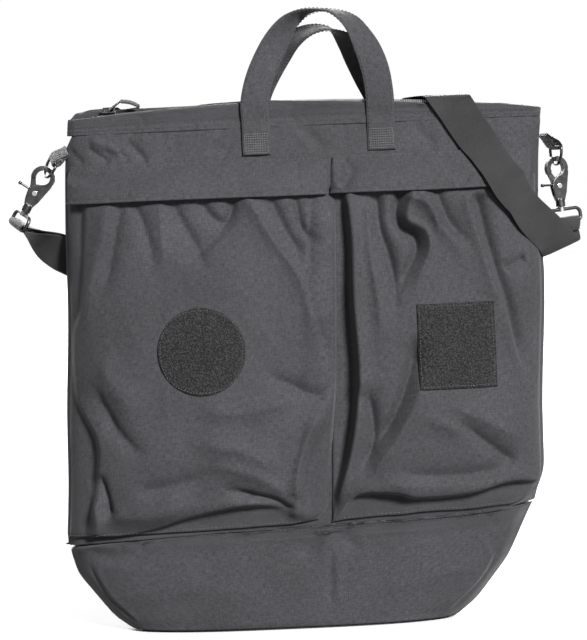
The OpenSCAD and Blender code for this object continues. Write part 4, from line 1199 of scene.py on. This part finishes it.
# ---- cast and moulded parts: the CAD shapes with softened edges ----
def softened(node, look, slot, body, voxel, passes):
    """A copy of a CAD node whose sharp edges are rounded as a casting's are."""
    co, tri = cad_mesh(node)
    piece = mesh_piece(node + "_cast", co, tri)
    bpy.context.view_layer.objects.active = piece
    remesh = piece.modifiers.new("remesh", "REMESH")
    remesh.mode, remesh.voxel_size, remesh.adaptivity = "VOXEL", voxel, 0
    relax = piece.modifiers.new("relax", "CORRECTIVE_SMOOTH")
    relax.iterations, relax.factor, relax.use_only_smooth = passes, 0.5, True
    depsgraph = bpy.context.evaluated_depsgraph_get()
    mesh = bpy.data.meshes.new_from_object(piece.evaluated_get(depsgraph))
    piece.modifiers.clear()
    piece.data = mesh
    mesh.polygons.foreach_set("use_smooth", [True] * len(mesh.polygons))
    return dress(piece, look, slot, body, node)


for side in ("left", "right"):
    softened("hook_frame_" + side, GUNMETAL, "gunmetal", side + "_hook", 0.33 * mm, 4)
    softened("hook_gate_" + side, GUNMETAL, "gunmetal", side + "_gate", 0.3 * mm, 2)
    softened("hook_rivet_" + side, STEEL, "spring_steel", side + "_hook", 0.2 * mm, 2)
softened("zip_slider", GUNMETAL, "gunmetal", "slider", 0.22 * mm, 3)
softened("zip_end_stops", GUNMETAL, "gunmetal", "bag", 0.22 * mm, 3)
softened("strap_adjuster", PLASTIC, "adjuster_plastic", "bag", 0.4 * mm, 3)

for node, look in [("ring_left", GUNMETAL), ("ring_right", GUNMETAL),
                   ("strap_loop_left", GUNMETAL), ("strap_loop_right", GUNMETAL),
                   ("zip_pull_wire", GUNMETAL), ("gate_spring_left", STEEL),
                   ("gate_spring_right", STEEL), ("pocket_loop_strip_left", PILE),
                   ("pocket_loop_strip_right", PILE), ("flap_hook_strip_left", HOOKS),
                   ("flap_hook_strip_right", HOOKS)]:
    shown = frame["nodes"][node]
    shown.data.materials.clear()
    shown.data.materials.append(look)


# ---- the braided cord knotted through the zip pull ----
def tube(path, radius, ring=10):
    """Rings of places round a path, drawn in at both ends."""
    along = np.gradient(path, axis=0)
    along /= np.linalg.norm(along, axis=1, keepdims=True)
    side = np.cross(along, (0.02, 0.03, 1.0))
    side /= np.linalg.norm(side, axis=1, keepdims=True)
    up = np.cross(side, along)
    turn = np.linspace(0, 2 * np.pi, ring, endpoint=False)
    ends = np.sqrt(np.clip(1 - (np.abs(np.linspace(-1, 1, len(path))) ** 14), 0.02, 1))
    wide = (radius * ends)[:, None, None]
    return path[:, None] + wide * (np.cos(turn)[None, :, None] * side[:, None]
                                   + np.sin(turn)[None, :, None] * up[:, None])


def pull_cord():
    """Three strands plaited round each other, spread at the end as in a knot."""
    low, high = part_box("zip_pull_cord")
    co, _ = cad_mesh("zip_pull_cord")
    head = co[co[:, X] < low.x + 4 * mm].mean(axis=0)
    tail = co[co[:, X] > high.x - 4 * mm].mean(axis=0)
    steps = np.linspace(0, 1, 90)
    middle = head + (tail - head) * steps[:, None]
    middle[:, Z] += 1.5 * mm * np.sin(np.pi * steps)
    places, faces, uv = [], [], []
    swing = 1.35 * mm * (1 + 0.5 * ramp(steps, 0.8, 0.95))
    for strand in range(3):
        phase = 2 * np.pi * (steps * 3.2 + strand / 3)
        path = middle + np.stack([0 * steps, swing * np.sin(phase),
                                  0.9 * mm * np.sin(2 * phase)], axis=1)
        skin = tube(path, 1.35 * mm)
        base = sum(len(p) for p in places)
        rows, ring = skin.shape[:2]
        places.append(skin.reshape(-1, 3))
        along, round_it = np.linspace(0, 35 * mm, rows), np.linspace(0, 8.5 * mm, ring)
        uv.append(np.stack(np.meshgrid(round_it, along), axis=2).reshape(-1, 2))
        faces += tube_faces(base, rows, ring)
    piece = mesh_piece("pull_cord_braid", np.vstack(places), faces, np.vstack(uv))
    dress(piece, CORD, "braided_cord", "pull", "zip_pull_cord")


pull_cord()


# ---- stage, light and camera ----
def stage_floor():
    """A pale disc on which the bag stands."""
    ring = [(9 * math.cos(a), 9 * math.sin(a), 0)
            for a in np.linspace(0, 2 * math.pi, 96, endpoint=False)]
    disc = mesh_piece("stage_floor", ring, [list(range(96))], shade_smooth=False)
    look = Look("pale_floor", 0.7, specular=0.2)
    colour = look.ramp_between(look.noise(1.5), 0.3, 0.7, grey(0.23), grey(0.25))
    disc.data.materials.append(look.finish(colour))


def sun_light(name, towards, strength, spread):
    lamp = bpy.data.lights.new(name, "SUN")
    lamp.energy, lamp.angle = strength, math.radians(spread)
    piece = bpy.data.objects.new(name, lamp)
    bpy.context.scene.collection.objects.link(piece)
    piece.rotation_euler = Vector(towards).to_track_quat("-Z", "Y").to_euler()


stage_floor()
sun_light("key", (-0.44, 0.84, -0.5), 25.0, 12)
sun_light("back_key", (0.12, -0.9, -0.42), 9.0, 60)
world = bpy.data.worlds.new("studio")
world.use_nodes = True
world.node_tree.nodes["Background"].inputs["Color"].default_value = (1, 1, 1, 1)
world.node_tree.nodes["Background"].inputs["Strength"].default_value = 1.0
bpy.context.scene.world = world
bpy.context.scene.view_settings.view_transform = "Standard"

CAMERA_TARGET = Vector((-0.0047, -0.03, 0.3098))
CAMERA_DISTANCE, CAMERA_ELEVATION, CAMERA_ROLL = 2.6, 3.5, -2.5
lens = bpy.data.cameras.new("camera")
lens.sensor_width, lens.lens = 36, 146.25
camera = bpy.data.objects.new("camera", lens)
bpy.context.scene.collection.objects.link(camera)
rise = math.radians(CAMERA_ELEVATION)
camera.location = CAMERA_TARGET + CAMERA_DISTANCE * Vector((0, -math.cos(rise), math.sin(rise)))
look_at = (CAMERA_TARGET - camera.location).to_track_quat("-Z", "Y").to_matrix()
roll = Matrix.Rotation(math.radians(CAMERA_ROLL), 3, "Z")
camera.rotation_euler = (look_at @ roll).to_euler()
bpy.context.scene.camera = camera
